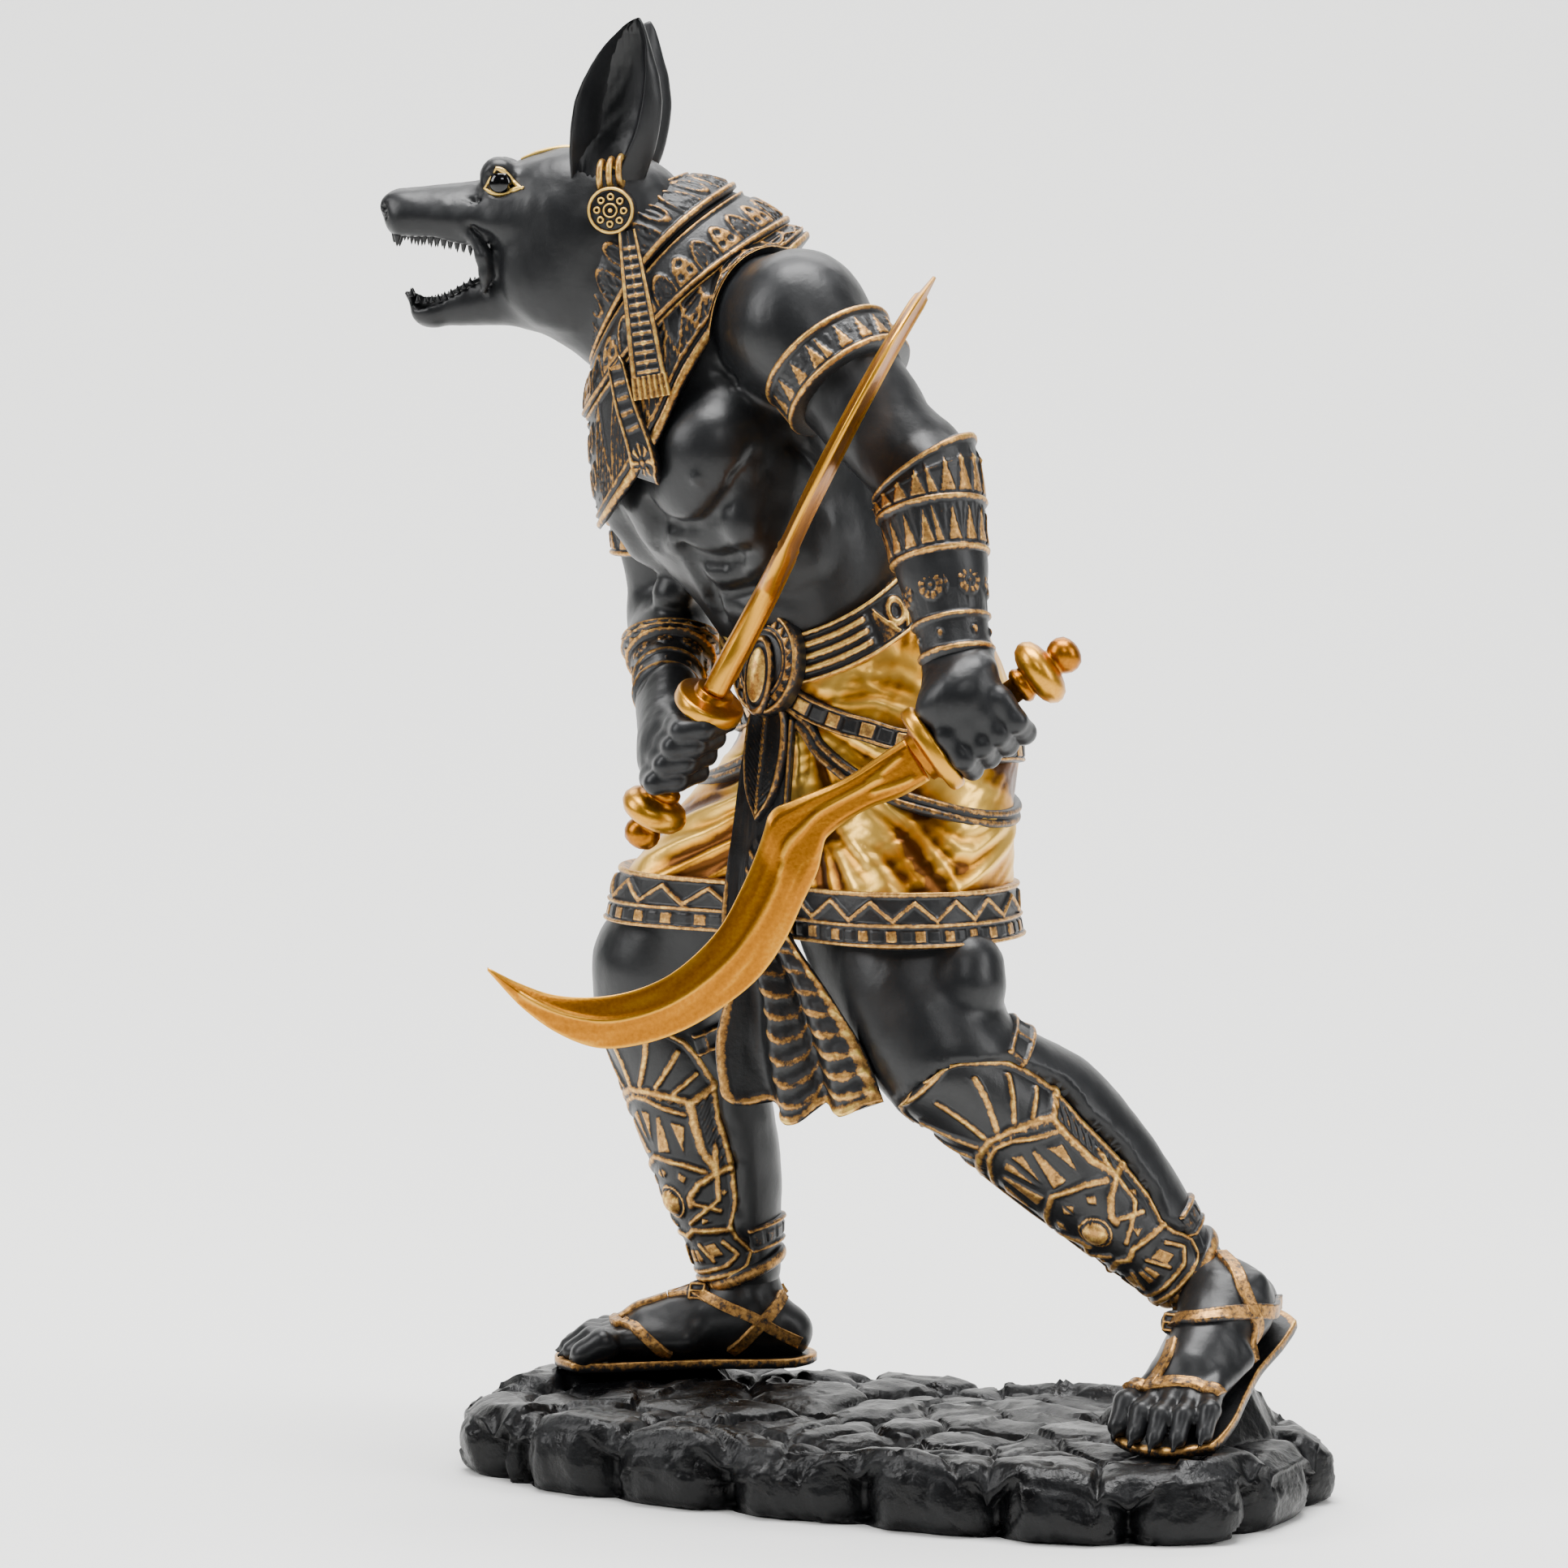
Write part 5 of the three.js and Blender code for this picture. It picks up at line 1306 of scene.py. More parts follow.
def boss_relief(r, a):
    """A tall oval bead with a black groove and a thin rim about it."""
    groove = step(0.62, 0.7, r) * step(0.84, 0.76, r)
    return 0.5 * bead(r - 0.9, 0.09) - 0.3 * groove, np.where(r < 0.66, 0.9, 0.75 * bead(r - 0.9, 0.1))


tab_line = np.array([(0, 11), (2.2, 10.2), (4.2, 7), (5.0, 2), (4.6, -4), (3.4, -9), (0, -14.5)])


def tab(centre, out):
    """A leaf with five sides: a keel down the middle, hatched flanks and a raised rim."""
    out, up, side = upright(out)
    line = resample(tab_line, 64)
    t = np.linspace(-1, 1, 33)[:, None]
    x = t * line[:, 0]
    y = np.broadcast_to(line[:, 1], x.shape)
    edge = np.minimum((1 - np.abs(t)) * line[:, 0], 12 - y)
    rim = bead(edge - 0.45, 0.42)
    hatch = bead(tile(y - 1.1 * np.abs(x), 1.15), 0.34) * (edge > 1.0)
    keel = bead(x, 0.45) * (edge > 0.8)
    up_by = np.where(np.abs(t) > 0.999, -2, 0.5 * rim + 0.25 * hatch + 0.4 * keel + 0.3 * (1 - np.abs(t)))
    p = placed(centre, (x, side), (y, up), (up_by, out))
    return p, False, False, dict(gilt=0.75 * rim + 0.45 * hatch + 0.5 * keel)


worn("buckle", [disc_on(buckle, buckle_out, 8.4, 10.4, plate_relief, dome=1.2),
                disc_on(buckle + buckle_out * 1.8 + [0, 0, -2.5], buckle_out, 3.4, 8.2, boss_relief, dome=2.2),
                tab(buckle + buckle_out * 0.6 + [0, 0, -17], buckle_out)])

# The cloth in front
# Two layers of stiff pleated linen fall from the buckle: a smooth one whose edge rolls, and over it a ribbed
# one in two flutes, flared at the hem. Black, its ribs and edges brushed with gold.

cloth_rows = np.array([
    (154, -27, 7, -18, 0.5), (132, -30, 4.5, -19.5, -2), (114, -31.5, 2, -20, -7), (100, -30.5, 0, -11, -13),
    (90, -32.5, -1, -5, -16), (80, -31, -2, -1.5, -17)])
cloth_top, cloth_drop = 154, 74


def cloth_point(u, v):
    """u from the far edge to the near one, v from the buckle to the hem; also how far the flutes swing out."""
    z = cloth_top - cloth_drop * v
    row = curve_through(-cloth_rows[:, 0], cloth_rows[:, 1:], -z.ravel()).reshape(z.shape + (4,))
    far, near = row[..., :2], row[..., 2:]
    across = near - far
    normal = unit(np.stack([across[..., 1], -across[..., 0]], -1))
    normal = np.where(normal[..., 1:] > 0, -normal, normal)
    grow = step(0.2, 1, v)
    flutes = np.cos(2 * np.pi * (2.5 * u ** 1.1 - 0.05))
    sway = 2.4 * grow * flutes + 0.6 * grow * np.sin(9 * u + 7 * v)
    flat = placed(far, (u, across), (sway + 1.6, normal))
    drop = (3.2 * np.sin(np.pi * u ** 0.75) + 2.0 * flutes * np.sin(np.pi * u)) * step(0.6, 1, v)
    return np.concatenate([flat, (z - drop)[..., None]], -1), sway


def cloth():
    """The front with its ribs, rolled edge and creases, and a plain back 1.3 mm behind it with fewer columns."""
    v, u = np.meshgrid(np.linspace(0, 1, 124), np.linspace(0, 1, 126), indexing="ij")
    p, sway = cloth_point(u, v)
    n = grid_normals(p, wrap=False)
    n = np.where(n[..., 1:2] > 0, -n, n)
    ribbed = step(0.36, 0.42, u) * step(0.3, 0.36, v)
    down = v * cloth_drop
    chevron = down + 6.4 * np.abs(tile(u * 2.5 + 0.55, 1.0)) - 0.3 * sway
    rib = bead(tile(chevron, 3.6), 0.85) * ribbed * step(0.98, 0.95, u)
    rolls = bead((1 - u) * 20 - 0.8, 0.8) + bead(u * 20 - 0.8, 0.9) * step(0.3, 0.5, v)
    edge = capped(rolls + bead(cloth_drop - down - 0.9, 1.0))
    crease = 0.3 * (grain(level_with(u * 18, down / 6), 0.9, 41) - 0.5)
    h = 0.45 * rib + 0.4 * edge + crease + 0.5 * ribbed
    gilt = capped(0.62 * rib + 0.75 * edge + 0.25 * step(1.2, 2.4, sway) * ribbed)
    back = (p - 1.3 * n)[:, ::-6]
    around = np.concatenate([placed(p, (h, n)), back], 1)
    return around, False, True, dict(gilt=np.concatenate([gilt, 0 * back[..., 0]], 1))


worn("front_cloth", [cloth()])

# The collar and headcloth
# Three tiers of stiff cloth cast round the neck, the lowest spread over the shoulders and the breast. Black, with
# palmettes, lobes and long triangles in relief, dry-brushed with bronze gold.

collar_edges = np.array([[(-40.6, 17, 261), (-57, 15, 230), (15.2, 0, 8.5)],
                         [(-31, 19, 257.8), (-58, 15, 224.5), (18, 0, 4)],
                         [(-20.5, 21, 251), (-59.3, 14, 214), (20.5, 0, 4)],
                         [(-16.5, 22, 247.5), (-56.3, 14, 194), (22.5, 6.0, 4)]])


def collar_ring(edge, angle, grow):
    """A closed line tilted from its high back to its low front, its sides lifted up the neck; 0 is the back."""
    back, front, (half, sag, rise) = edge
    middle, reach = (front + back) / 2, (back - front) / 2
    chord = np.linalg.norm(reach)
    up_neck = unit(np.array([-reach[2], 0, reach[0]]))
    c, s = np.cos(angle)[..., None], np.sin(angle)[..., None]
    sunk = sag * np.exp(-((np.abs(c) - 0.42) / 0.55) ** 2) * (c < 0.25) * step(0.25, -0.3, c)
    return (middle + reach * c * (chord + grow) / chord - np.array([0, 1.0, 0]) * s * (half + grow)
            + up_neck * rise * s ** 2 - np.array([0, 0, 1.0]) * sunk)


def clear_of(parts, p, gap):
    """Points pushed out along the clay's slope until they lie a gap above it; they are moved 9 mm at most."""
    p = p.copy()
    for _ in range(3):
        deep = np.clip(gap - clay(parts, p), 0, 3)
        low = deep > 0
        p[low] += deep[low][:, None] * slope(parts, p[low])
    return p


def tier(k, relief, rows, columns):
    """The band from one edge to the next, flaring to its lower edge; relief(t, s, angle), s in mm along it."""
    t, a = once_round(np.linspace(0, 1, rows), columns)
    top, bottom = collar_ring(collar_edges[k], a, 0.2), collar_ring(collar_edges[k + 1], a, 1.4)
    p = top + (bottom - top) * t[..., None]
    step_mm = np.linalg.norm(np.roll(bottom[-1], -1, 0) - bottom[-1], axis=-1)
    s = np.concatenate([[0], np.cumsum(step_mm)[:-1]])
    s = s * (round(s[-1] / 6) * 6) / s[-1]
    n = grid_normals(p)
    height, gilt = relief(t, np.broadcast_to(s, t.shape), a)
    p = placed(p, (0.8 * np.sin(np.pi * t), n))
    if k == 2:
        p = p + (clear_of(flesh["torso"], p, 1.0) - p) * step(0.2, 0.75, np.abs(np.sin(a)))[..., None]
    p = placed(p, (height, n))
    over, under = collar_ring(collar_edges[k], a[:1], -1.5), collar_ring(collar_edges[k + 1], a[-1:], -1.5)
    gilt = np.concatenate([gilt[:1] * 0, gilt, gilt[:1] * 0])
    return np.concatenate([over, p, under]), False, True, dict(gilt=gilt)


def fan(x, y, wide, tall):
    """Rays spread from a point below a dome-shaped outline: height 0 to 1."""
    r = np.hypot(x / wide, y / tall)
    rays = 0.5 + 0.5 * np.cos(9 * np.arctan2(x / wide, y / tall + 0.25) * 1.6)
    return capped(bead(r - 0.88, 0.13) + 0.7 * rays * (r < 0.72) * (r > 0.2))


def frieze(t, s, tall, foot, limits, figure, crown, rail, gold):
    """Figures stand in turn with fans, 6 mm apart, between two rails; figure(x, y) gives heights from 0 to 1."""
    x, y = tile(s, 6), (foot - t) * tall
    odd = (np.floor((s + 3) / 6) % 2).astype(bool)
    shape = np.where(odd, fan(x, y, 2.9, crown), capped(figure(x, y))) * (t > limits[0]) * (t < limits[1])
    return 0.5 * shape + 0.7 * rail, capped(gold * shape + 0.8 * rail)


def palmettes(t, s, a):
    """Leaves and fans stand in turn on the lower rail."""
    def leaf(x, y):
        return bead(np.hypot(x / 2.1, (y - 3.4) / 3.4) - 0.8, 0.22) + 0.6 * bead(x, 0.4) * (np.abs(y - 3) < 2.6)
    return frieze(t, s, 9, 0.82, (0.1, 0.84), leaf, 6.4, bead(t - 0.93, 0.07) + bead(t - 0.04, 0.05), 0.6)


def lobes(t, s, a):
    """Domes with three round holes stand in turn with fans."""
    def dome(x, y):
        holes = sum(step(0.85, 0.5, np.hypot(x - cx, y - cy)) for cx, cy in ((-1.3, 1.6), (1.3, 1.6), (0, 4.0)))
        return step(1.0, 0.88, np.hypot(x / 3, y / 6.2)) * (1 - holes)
    return frieze(t, s, 11, 0.86, (0.18, 0.87), dome, 6.2, bead(t - 0.94, 0.06) + bead(t - 0.12, 0.04), 0.68)


def broad_band(t, s, a):
    """A zigzag of long triangles, some hatched; over the breast rows of ovals; a double rail below."""
    front = step(0.6, 0.3, np.abs(a - np.pi))
    deep = 6 + 15 * np.exp(-((a - np.pi) / 1.1) ** 2)
    y = (1 - t) * deep
    x = tile(s, 7.2)
    zig = np.abs(x) / 3.6
    inner = capped((y - 3.0) / np.maximum(deep - 4.6, 1))
    line = bead((inner - zig) * deep * 0.7, 1.1) * (y > 2.6) * (t > 0.06)
    odd = np.floor((s + 3.6) / 7.2) % 2 == 0
    hatch = bead(tile(x + 0.5 * y, 1.3), 0.4) * (inner < zig) * (y > 2.8)
    hatch2 = bead(tile(y, 1.5), 0.42) * (inner > zig) * odd * (t > 0.08)
    ovals = bead(np.hypot(tile(s, 4.2) / 1.5, tile(y - 8, 6.4) / 2.4) - 0.8, 0.3) * (y > 4) * (t > 0.08)
    pattern = capped(np.where(front > 0.5, ovals, line + 0.8 * hatch + 0.7 * hatch2))
    rail = bead(y - 0.8, 0.85) + 0.8 * bead(y - 2.4, 0.4) + bead(t - 0.03, 0.04)
    return 0.45 * pattern + 0.75 * capped(rail), capped(0.7 * pattern + 0.85 * rail)


worn("headcloth", [tier(0, palmettes, 36, 340)])
worn("collar_upper", [tier(1, lobes, 40, 370)])
worn("collar_lower", [tier(2, broad_band, 58, 380)])

# Ear rings, medallions and ribbons
# At each ear three rings and a round medallion, and from it a long ribbon with cross rungs and a fringe; on the
# left a second ribbon, ending in a tab with a rosette, lies on the collar. Cast with the headcloth; the medallion,
# rungs and fringe carry the brightest gold.


def medallion_relief(r, a):
    """Rim, groove, a scroll flower of eight curls round a ringed dot."""
    rim = bead(r - 0.9, 0.09)
    x = tile(a, 2 * np.pi / 8)
    curl = bead(np.hypot((r - 0.56) / 0.14, x * r / 0.14 + 0.1) - 0.8, 0.42)
    ring = bead(r - 0.27, 0.055)
    dot = bead(r, 0.13)
    up = capped(rim + curl + ring + dot)
    return 0.7 * up, 1.2 * up


def ribbon_grid(start, end, start_half, end_half, out, relief, bend):
    """A flat ribbon from one point to another, widening and bent outwards, with its face to out."""
    t = np.linspace(0, 1, 170)[:, None]
    path = start + (end - start) * t + np.asarray(out) * bend * np.sin(np.pi * t)
    out = np.broadcast_to(unit(np.asarray(out, float)), path.shape)
    half = start_half + (end_half - start_half) * t[:, 0] ** 0.8
    return strip(path, out, half, 32, lambda s, x: relief(s / s.max(), x / half[None]), 0.5, 1.2)


def rungs(t, x):
    """Gold rails along both edges, rungs between them, and at the end a flared fringe of threads."""
    fringe = t > 0.86
    rail = bead(np.abs(x) - 0.78, 0.17)
    rung = bead(tile(t * 100, 5.6), 1.3) * (np.abs(x) < 0.55) * (t > 0.1)
    core = bead(x, 0.12) * 0.5
    up = np.where(fringe, 0.5 + 0.5 * np.cos(x * 7 * np.pi), capped(rail + 0.8 * rung + core))
    return 0.45 * up, np.where(fringe, 0.55 + 0.45 * up, 0.95 * up)


def tab_ribbon(t, x):
    """Rails and rungs, ending in a tab with a rosette."""
    r = np.hypot(x, (t - 0.88) / 0.1)
    petal = 0.5 + 0.5 * np.cos(8 * np.arctan2(x, (t - 0.88) / 0.1))
    rosette = (bead(r, 0.22) + petal * (r < 0.75) * (r > 0.28)) * (t > 0.78)
    rail = bead(np.abs(x) - 0.82, 0.15)
    rung = bead(tile(t * 100, 6.2), 1.4) * (np.abs(x) < 0.6) * (t < 0.78)
    up = capped(rail + 0.8 * rung + rosette)
    return 0.45 * up, 0.85 * up


def hoop(centre, radius, thick, tilt):
    """A small ring standing in a plane turned by tilt degrees about the upright."""
    a, b = once_round(np.linspace(0, 2 * np.pi, 32, endpoint=False), 10)
    way = np.array([math.cos(math.radians(tilt)), math.sin(math.radians(tilt)), 0])
    normal = np.cross(way, [0, 0, 1.0])
    ring = placed(0, (np.cos(a), way), (np.sin(a), np.array([0, 0, 1.3])))
    return (placed(centre, (radius + thick * np.cos(b), ring), (thick * np.sin(b), normal)), True, True,
            dict(gilt=0.85))


for name, side in sides.items():
    away = np.array([0, -1.0 * side, 0])
    medal = in_head(-11.5, side * 14.6, -1.5)
    rings = [hoop(in_head(-9.5 - 1.9 * k, side * 11.6, 5.2 + 0.5 * k), 2.1, 0.62, 75) for k in range(3)]
    worn(name + "_medallion", [disc_on(medal, away + [-0.15, 0, 0], 4.8, 4.8, medallion_relief, 42, 150, 0.5, 2.6)]
         + rings)
    ends = np.array([[-51.5, -1.0, 250.5], [-46.4, -6.0, 217.5]]) * [1, side, 1] + [0, 15.5 * (1 - side), 0]
    worn(name + "_ribbon", [ribbon_grid(*ends, 1.8, 4.0, away + [-0.1, 0, 0.0], rungs, 0.8)])


# Places (ahead, up) in the head's axes along each painted line of the eye and the brow, and its radii.
lids = {"upper": ([(11.9, 6.9), (10.9, 6.5), (9.9, 5.6), (8.3, 4.0), (6.4, 2.8)], (0.3, 0.62, 0.55, 0.4, 0.2)),
        "lower": ([(14.4, 2.9), (12.9, 2.1), (11.0, 1.8), (9.0, 2.2), (7.8, 2.7), (6.2, 3.1)],
                  (0.2, 0.5, 0.55, 0.5, 0.5, 0.2)),
        "front": ([(11.9, 6.6), (12.8, 5.0), (14.2, 3.0)], (0.2, 0.3, 0.2)),
        "crown": ([(7.6, 8.6), (4.4, 9.7), (1.1, 10.4), (-2.8, 10.6)], (0.3, 0.5, 0.5, 0.4)),
        "crown_top": ([(2.6, 11.2), (-0.4, 11.6), (-3.0, 11.9)], (0.3, 0.5, 0.4))}


def cast(parts, points, way):
    """Points moved along a direction until they meet the clay from outside."""
    gone = np.zeros(len(points))
    for _ in range(40):
        gone += np.clip(clay(parts, placed(points, (gone, way))), -1, 3) * 0.8
    return placed(points, (gone, way))


def cord(path, radii, out):
    """A round gilt cord along a line of points, its radius given at each."""
    side = unit(np.cross(unit(np.gradient(path, axis=0)), out))
    up = np.cross(side, unit(np.gradient(path, axis=0)))
    a = np.linspace(0, 2 * np.pi, 12, endpoint=False)[:, None]
    ring = np.cos(a) * side[:, None] + np.sin(a) * up[:, None]
    return path[:, None] + radii[:, None, None] * ring, False, True, dict(gilt=1.15)


for name, side in sides.items():
    cords = []
    away = head_way[1] * side
    for line, radii in lids.values():
        line = resample(line, 60)
        ahead, up = line[:, :1], line[:, 1:]
        crown = up > 8
        down = np.array([0, 0, 0.8]) * (line.max() > 10 and line[0, 1] > 8)
        p = cast(flesh["head"], in_head(ahead, side * np.where(crown, 9, 20), up + 6 * crown), -unit(away + down))
        radius = np.interp(np.linspace(0, 1, 60), np.linspace(0, 1, len(radii)), radii)
        cords.append(cord(p + 0.1 * away, radius, away))
    worn(name + "_lids", cords)


def laid_over(piece, points):
    """Points moved towards the viewer until they lie on the piece: as far forward as its vertices nearby."""
    vertices = np.empty(len(piece.data.vertices) * 3)
    piece.data.vertices.foreach_get("co", vertices)
    vertices = vertices.reshape(-1, 3) * 1000
    apart = np.hypot(points[:, None, 0] - vertices[None, :, 0], points[:, None, 2] - vertices[None, :, 2])
    ahead = np.where(apart < 1.6, vertices[None, :, 1], 99).min(1)
    run = np.arange(len(points))
    ahead = np.interp(run, run[ahead < 90], ahead[ahead < 90])
    points = points.copy()
    points[:, 1] = np.convolve(np.pad(ahead, 4, mode="edge"), np.ones(9) / 9, "valid")
    return points


second = resample([(-53.8, 0, 226), (-51.8, 0, 217), (-48.6, 0, 207), (-47.4, 0, 201.0)], 90)
second = laid_over(bpy.data.objects["collar_lower"], second)
outward = np.broadcast_to(unit(np.array([-0.35, -0.93, 0.05])), second.shape)
worn("left_under_ribbon", [strip(second, outward, np.linspace(1.8, 3.0, 90), 32,
                                 lambda s, x: tab_ribbon(s / s.max(), x / np.abs(x).max(0)), 0.7, 2.0)])

# Armbands and bracers
# A band below each shoulder and a long bracer on each forearm, cast on the arm: rings, rows of triangles,
# rosettes and studs in relief, gold on black.


def sleeve(a, b, front, radius, relief, shares, rows, columns, slant=None):
    """A closed sleeve about a limb: radius(share) plus relief(share, angle, mm round); its ends tucked in. The
    angle is 0 at the front; slant(share, angle) moves a row along the limb."""
    along = unit(b - a)
    deep = unit(front - along * (front @ along))
    wide = np.cross(deep, along)
    wide = wide if wide[0] > 0 else -wide
    s, angle = once_round(np.linspace(*shares, rows), columns)
    height, gilt = relief(s, angle, angle * radius(np.array(np.mean(shares))))
    place = s if slant is None else slant(s, angle)
    r = radius(s) + np.where((s == shares[0]) | (s == shares[1]), -2.2, height)
    p = placed(a, (place, b - a), (r * np.cos(angle), deep), (r * np.sin(angle), wide))
    return p, False, True, dict(gilt=gilt)


def triangles(t, x, pitch, sharp=0.92):
    """A row of tall triangles, apex up: 1 inside them, t from 0 at the top of the row to 1 at its base."""
    inside = t - np.abs(tile(x, pitch)) / (pitch / 2) / sharp
    return step(0, 0.14, inside) * ((t > 0.02) & (t < 1))


def rosette(x, y, radius):
    """A daisy: a ring of petals round a dot in a groove."""
    r, a = np.hypot(x, y) / radius, np.arctan2(y, x)
    petal = (0.45 + 0.55 * np.abs(np.cos(a * 4.5))) * step(1.05, 0.9, r) * step(0.36, 0.46, r)
    return capped(petal + bead(r, 0.26))


def bracer_relief(s, angle, x):
    """From the elbow: a rim, triangles, a ring, longer triangles, a ring, rosettes on plain ground, a ring,
    studs, a ring."""
    up = sum(bead((s - at) * 35, half) for at, half in ((-0.075, 0.75), (0.14, 0.7), (0.415, 0.75), (0.775, 0.6),
                                                        (0.955, 0.7)))
    up = capped(up + 0.7 * bead(s * 35, 0.25))
    upper, lower = (s > -0.04) & (s < 0.11), (s > 0.17) & (s < 0.385)
    first = triangles((s + 0.04) / 0.15, x, 3.0) * upper
    second = triangles((s - 0.17) / 0.21, x, 3.2, 0.8) * lower
    between = triangles((0.385 - s) / 0.21, x + 1.6, 3.2, 0.4) * lower
    flower = rosette(tile(x + 2.0, 7.4), (s - 0.6) * 35, 2.8) * ((s > 0.48) & (s < 0.72))
    stud = bead(np.hypot(tile(x + 2.0, 7.4), (s - 0.865) * 35), 0.95)
    streak = 0.15 * (grain(level_with(x, s * 6), 0.7, 51) - 0.5) * ((s > 0.43) & (s < 0.76))
    height = 0.75 * up + 0.45 * (first + second) + 0.15 * between + 0.5 * flower + 0.6 * stud + streak
    gilt = 0.85 * up + 0.7 * first + 0.72 * second + 0.25 * between + 0.66 * flower + 0.8 * stud
    return height, capped(gilt)


def bracer_radius(s):
    """The bracer's radius at each share of the forearm: wide at the elbow, stepped in below the second ring."""
    shares = np.array([-0.12, 0.05, 0.14, 0.3, 0.42, 0.45, 0.6, 0.77, 0.86, 1.02])
    radii = np.array([10.2, 10.6, 10.3, 9.5, 9.0, 8.4, 7.9, 7.2, 6.9, 7.0])
    return curve_through(shares, radii, s.ravel()).reshape(s.shape)


def armband_relief(s, angle, x, top=0.21, bottom=0.41):
    """Two rounded rims and between them triangles, with a tick in each gap."""
    t = (s - top) / (bottom - top)
    rims = bead((t - 0.08) * 8, 0.7) + bead((t - 0.92) * 8, 0.75)
    tri = triangles((t - 0.2) / 0.6, x, 4.6, 0.7) * (t > 0.2) * (t < 0.8)
    tick = bead(tile(x + 2.3, 4.6), 0.35) * (t > 0.3) * (t < 0.55)
    up = capped(rims)
    return 0.8 * up + 0.5 * tri + 0.25 * tick, capped(0.85 * up + 0.72 * tri + 0.4 * tick)


viewer = np.array([0, -1.0, 0])
left_arm, right_arm = ([joints[side][end] for end in ("shoulder", "elbow", "wrist")] for side in sides)
worn("left_bracer", [sleeve(*left_arm[1:], viewer, bracer_radius, bracer_relief, (-0.1, 1.0), 96, 208,
                            lambda s, angle: s - step(0.14, -0.1, s) * (0.03 + 0.13 * np.sin(angle)))])
worn("right_bracer", [sleeve(*right_arm[1:], np.array([0, 0, 1.0]), lambda s: bracer_radius(s) * 0.94,
                             bracer_relief, (-0.1, 1.0), 84, 170,
                             lambda s, angle: s + step(0.98, 0, s) * (0.3 + 0.26 * np.cos(angle)) * (1 - s) / 0.9)])
worn("left_armband", [sleeve(*left_arm[:2], viewer, lambda s: 13.7 - 2.2 * (s - 0.21), armband_relief, (0.2, 0.42),
                             34, 220)])
worn("right_armband", [sleeve(*right_arm[:2], viewer, lambda s: 12.1 - 2.2 * (s - 0.49),
                              lambda s, angle, x: armband_relief(s, angle, x, 0.49, 0.66), (0.48, 0.67), 30, 170)])

# Greaves and leg bands
# A greave on each shin, from the kneecap to the ankle: a rim, a fan of rays, arcs, long facets, a boss and an
# end plate, the same on both sides of its middle. Straps hold it below the knee and above the ankle.

greave_lines = [
    ([(0.01, 0), (0.19, 0)], 0.5), ([(0.04, 45), (0.2, 15)], 0.5), ([(0.12, 67), (0.22, 33)], 0.5),
    ([(0.22, 77), (0.26, 49)], 0.5), ([(0.21, -1), (0.23, 21), (0.27, 43), (0.31, 62)], 0.7),
    ([(0.24, -1), (0.26, 17), (0.31, 35), (0.35, 53)], 0.5),
    ([(0.28, 97), (0.32, 61), (0.39, 59), (0.5, 59), (0.6, 69), (0.6, 84)], 0.75),
    ([(0.6, 69), (0.62, 45), (0.66, 29), (0.69, 27)], 0.75), ([(0.48, -1), (0.49, 7), (0.53, 33), (0.58, 55)], 0.6),
    ([(0.82, 66), (0.79, 15), (0.81, -1)], 0.65), ([(0.68, 27), (0.74, 60)], 0.5),
    ([(0.76, 16), (0.7, 62), (0.5, 74)], 0.5), ([(0.86, 52), (0.92, 68), (0.95, 48), (0.955, -1)], 0.5),
    ([(0.85, 16), (0.92, 30)], 0.5)]
greave_facets = [
    [(0.29, 2), (0.31, 15), (0.45, 2)], [(0.33, 20), (0.33, 27), (0.48, 25), (0.47, 6)],
    [(0.35, 33), (0.39, 50), (0.51, 38)], [(0.55, 25), (0.58, 35), (0.61, 27), (0.58, 20)],
    [(0.52, 0), (0.55, 10), (0.58, 0)], [(0.65, 64), (0.68, 78), (0.7, 68)],
    [(0.66, 52), (0.69, 62), (0.74, 80), (0.7, 50)], [(0.74, 34), (0.77, 48), (0.78, 30)],
    [(0.85, 20), (0.85, 40), (0.91, 50), (0.91, 30)], [(0.86, 0), (0.86, 10), (0.92, 14), (0.92, 0)]]
arc_mm = 0.165


def inside_of(x, y, corners):
    """How far inside a convex outline each point lies, in mm; negative outside."""
    corners = np.array(corners)
    turn = np.sign(np.cross(corners[1] - corners[0], corners[2] - corners[0]))
    best = np.full(np.shape(x), 1e9)
    for a, b in zip(corners, np.roll(corners, -1, 0)):
        d = b - a
        best = np.minimum(best, turn * (d[0] * (y - a[1]) - d[1] * (x - a[0])) / np.hypot(*d))
    return best


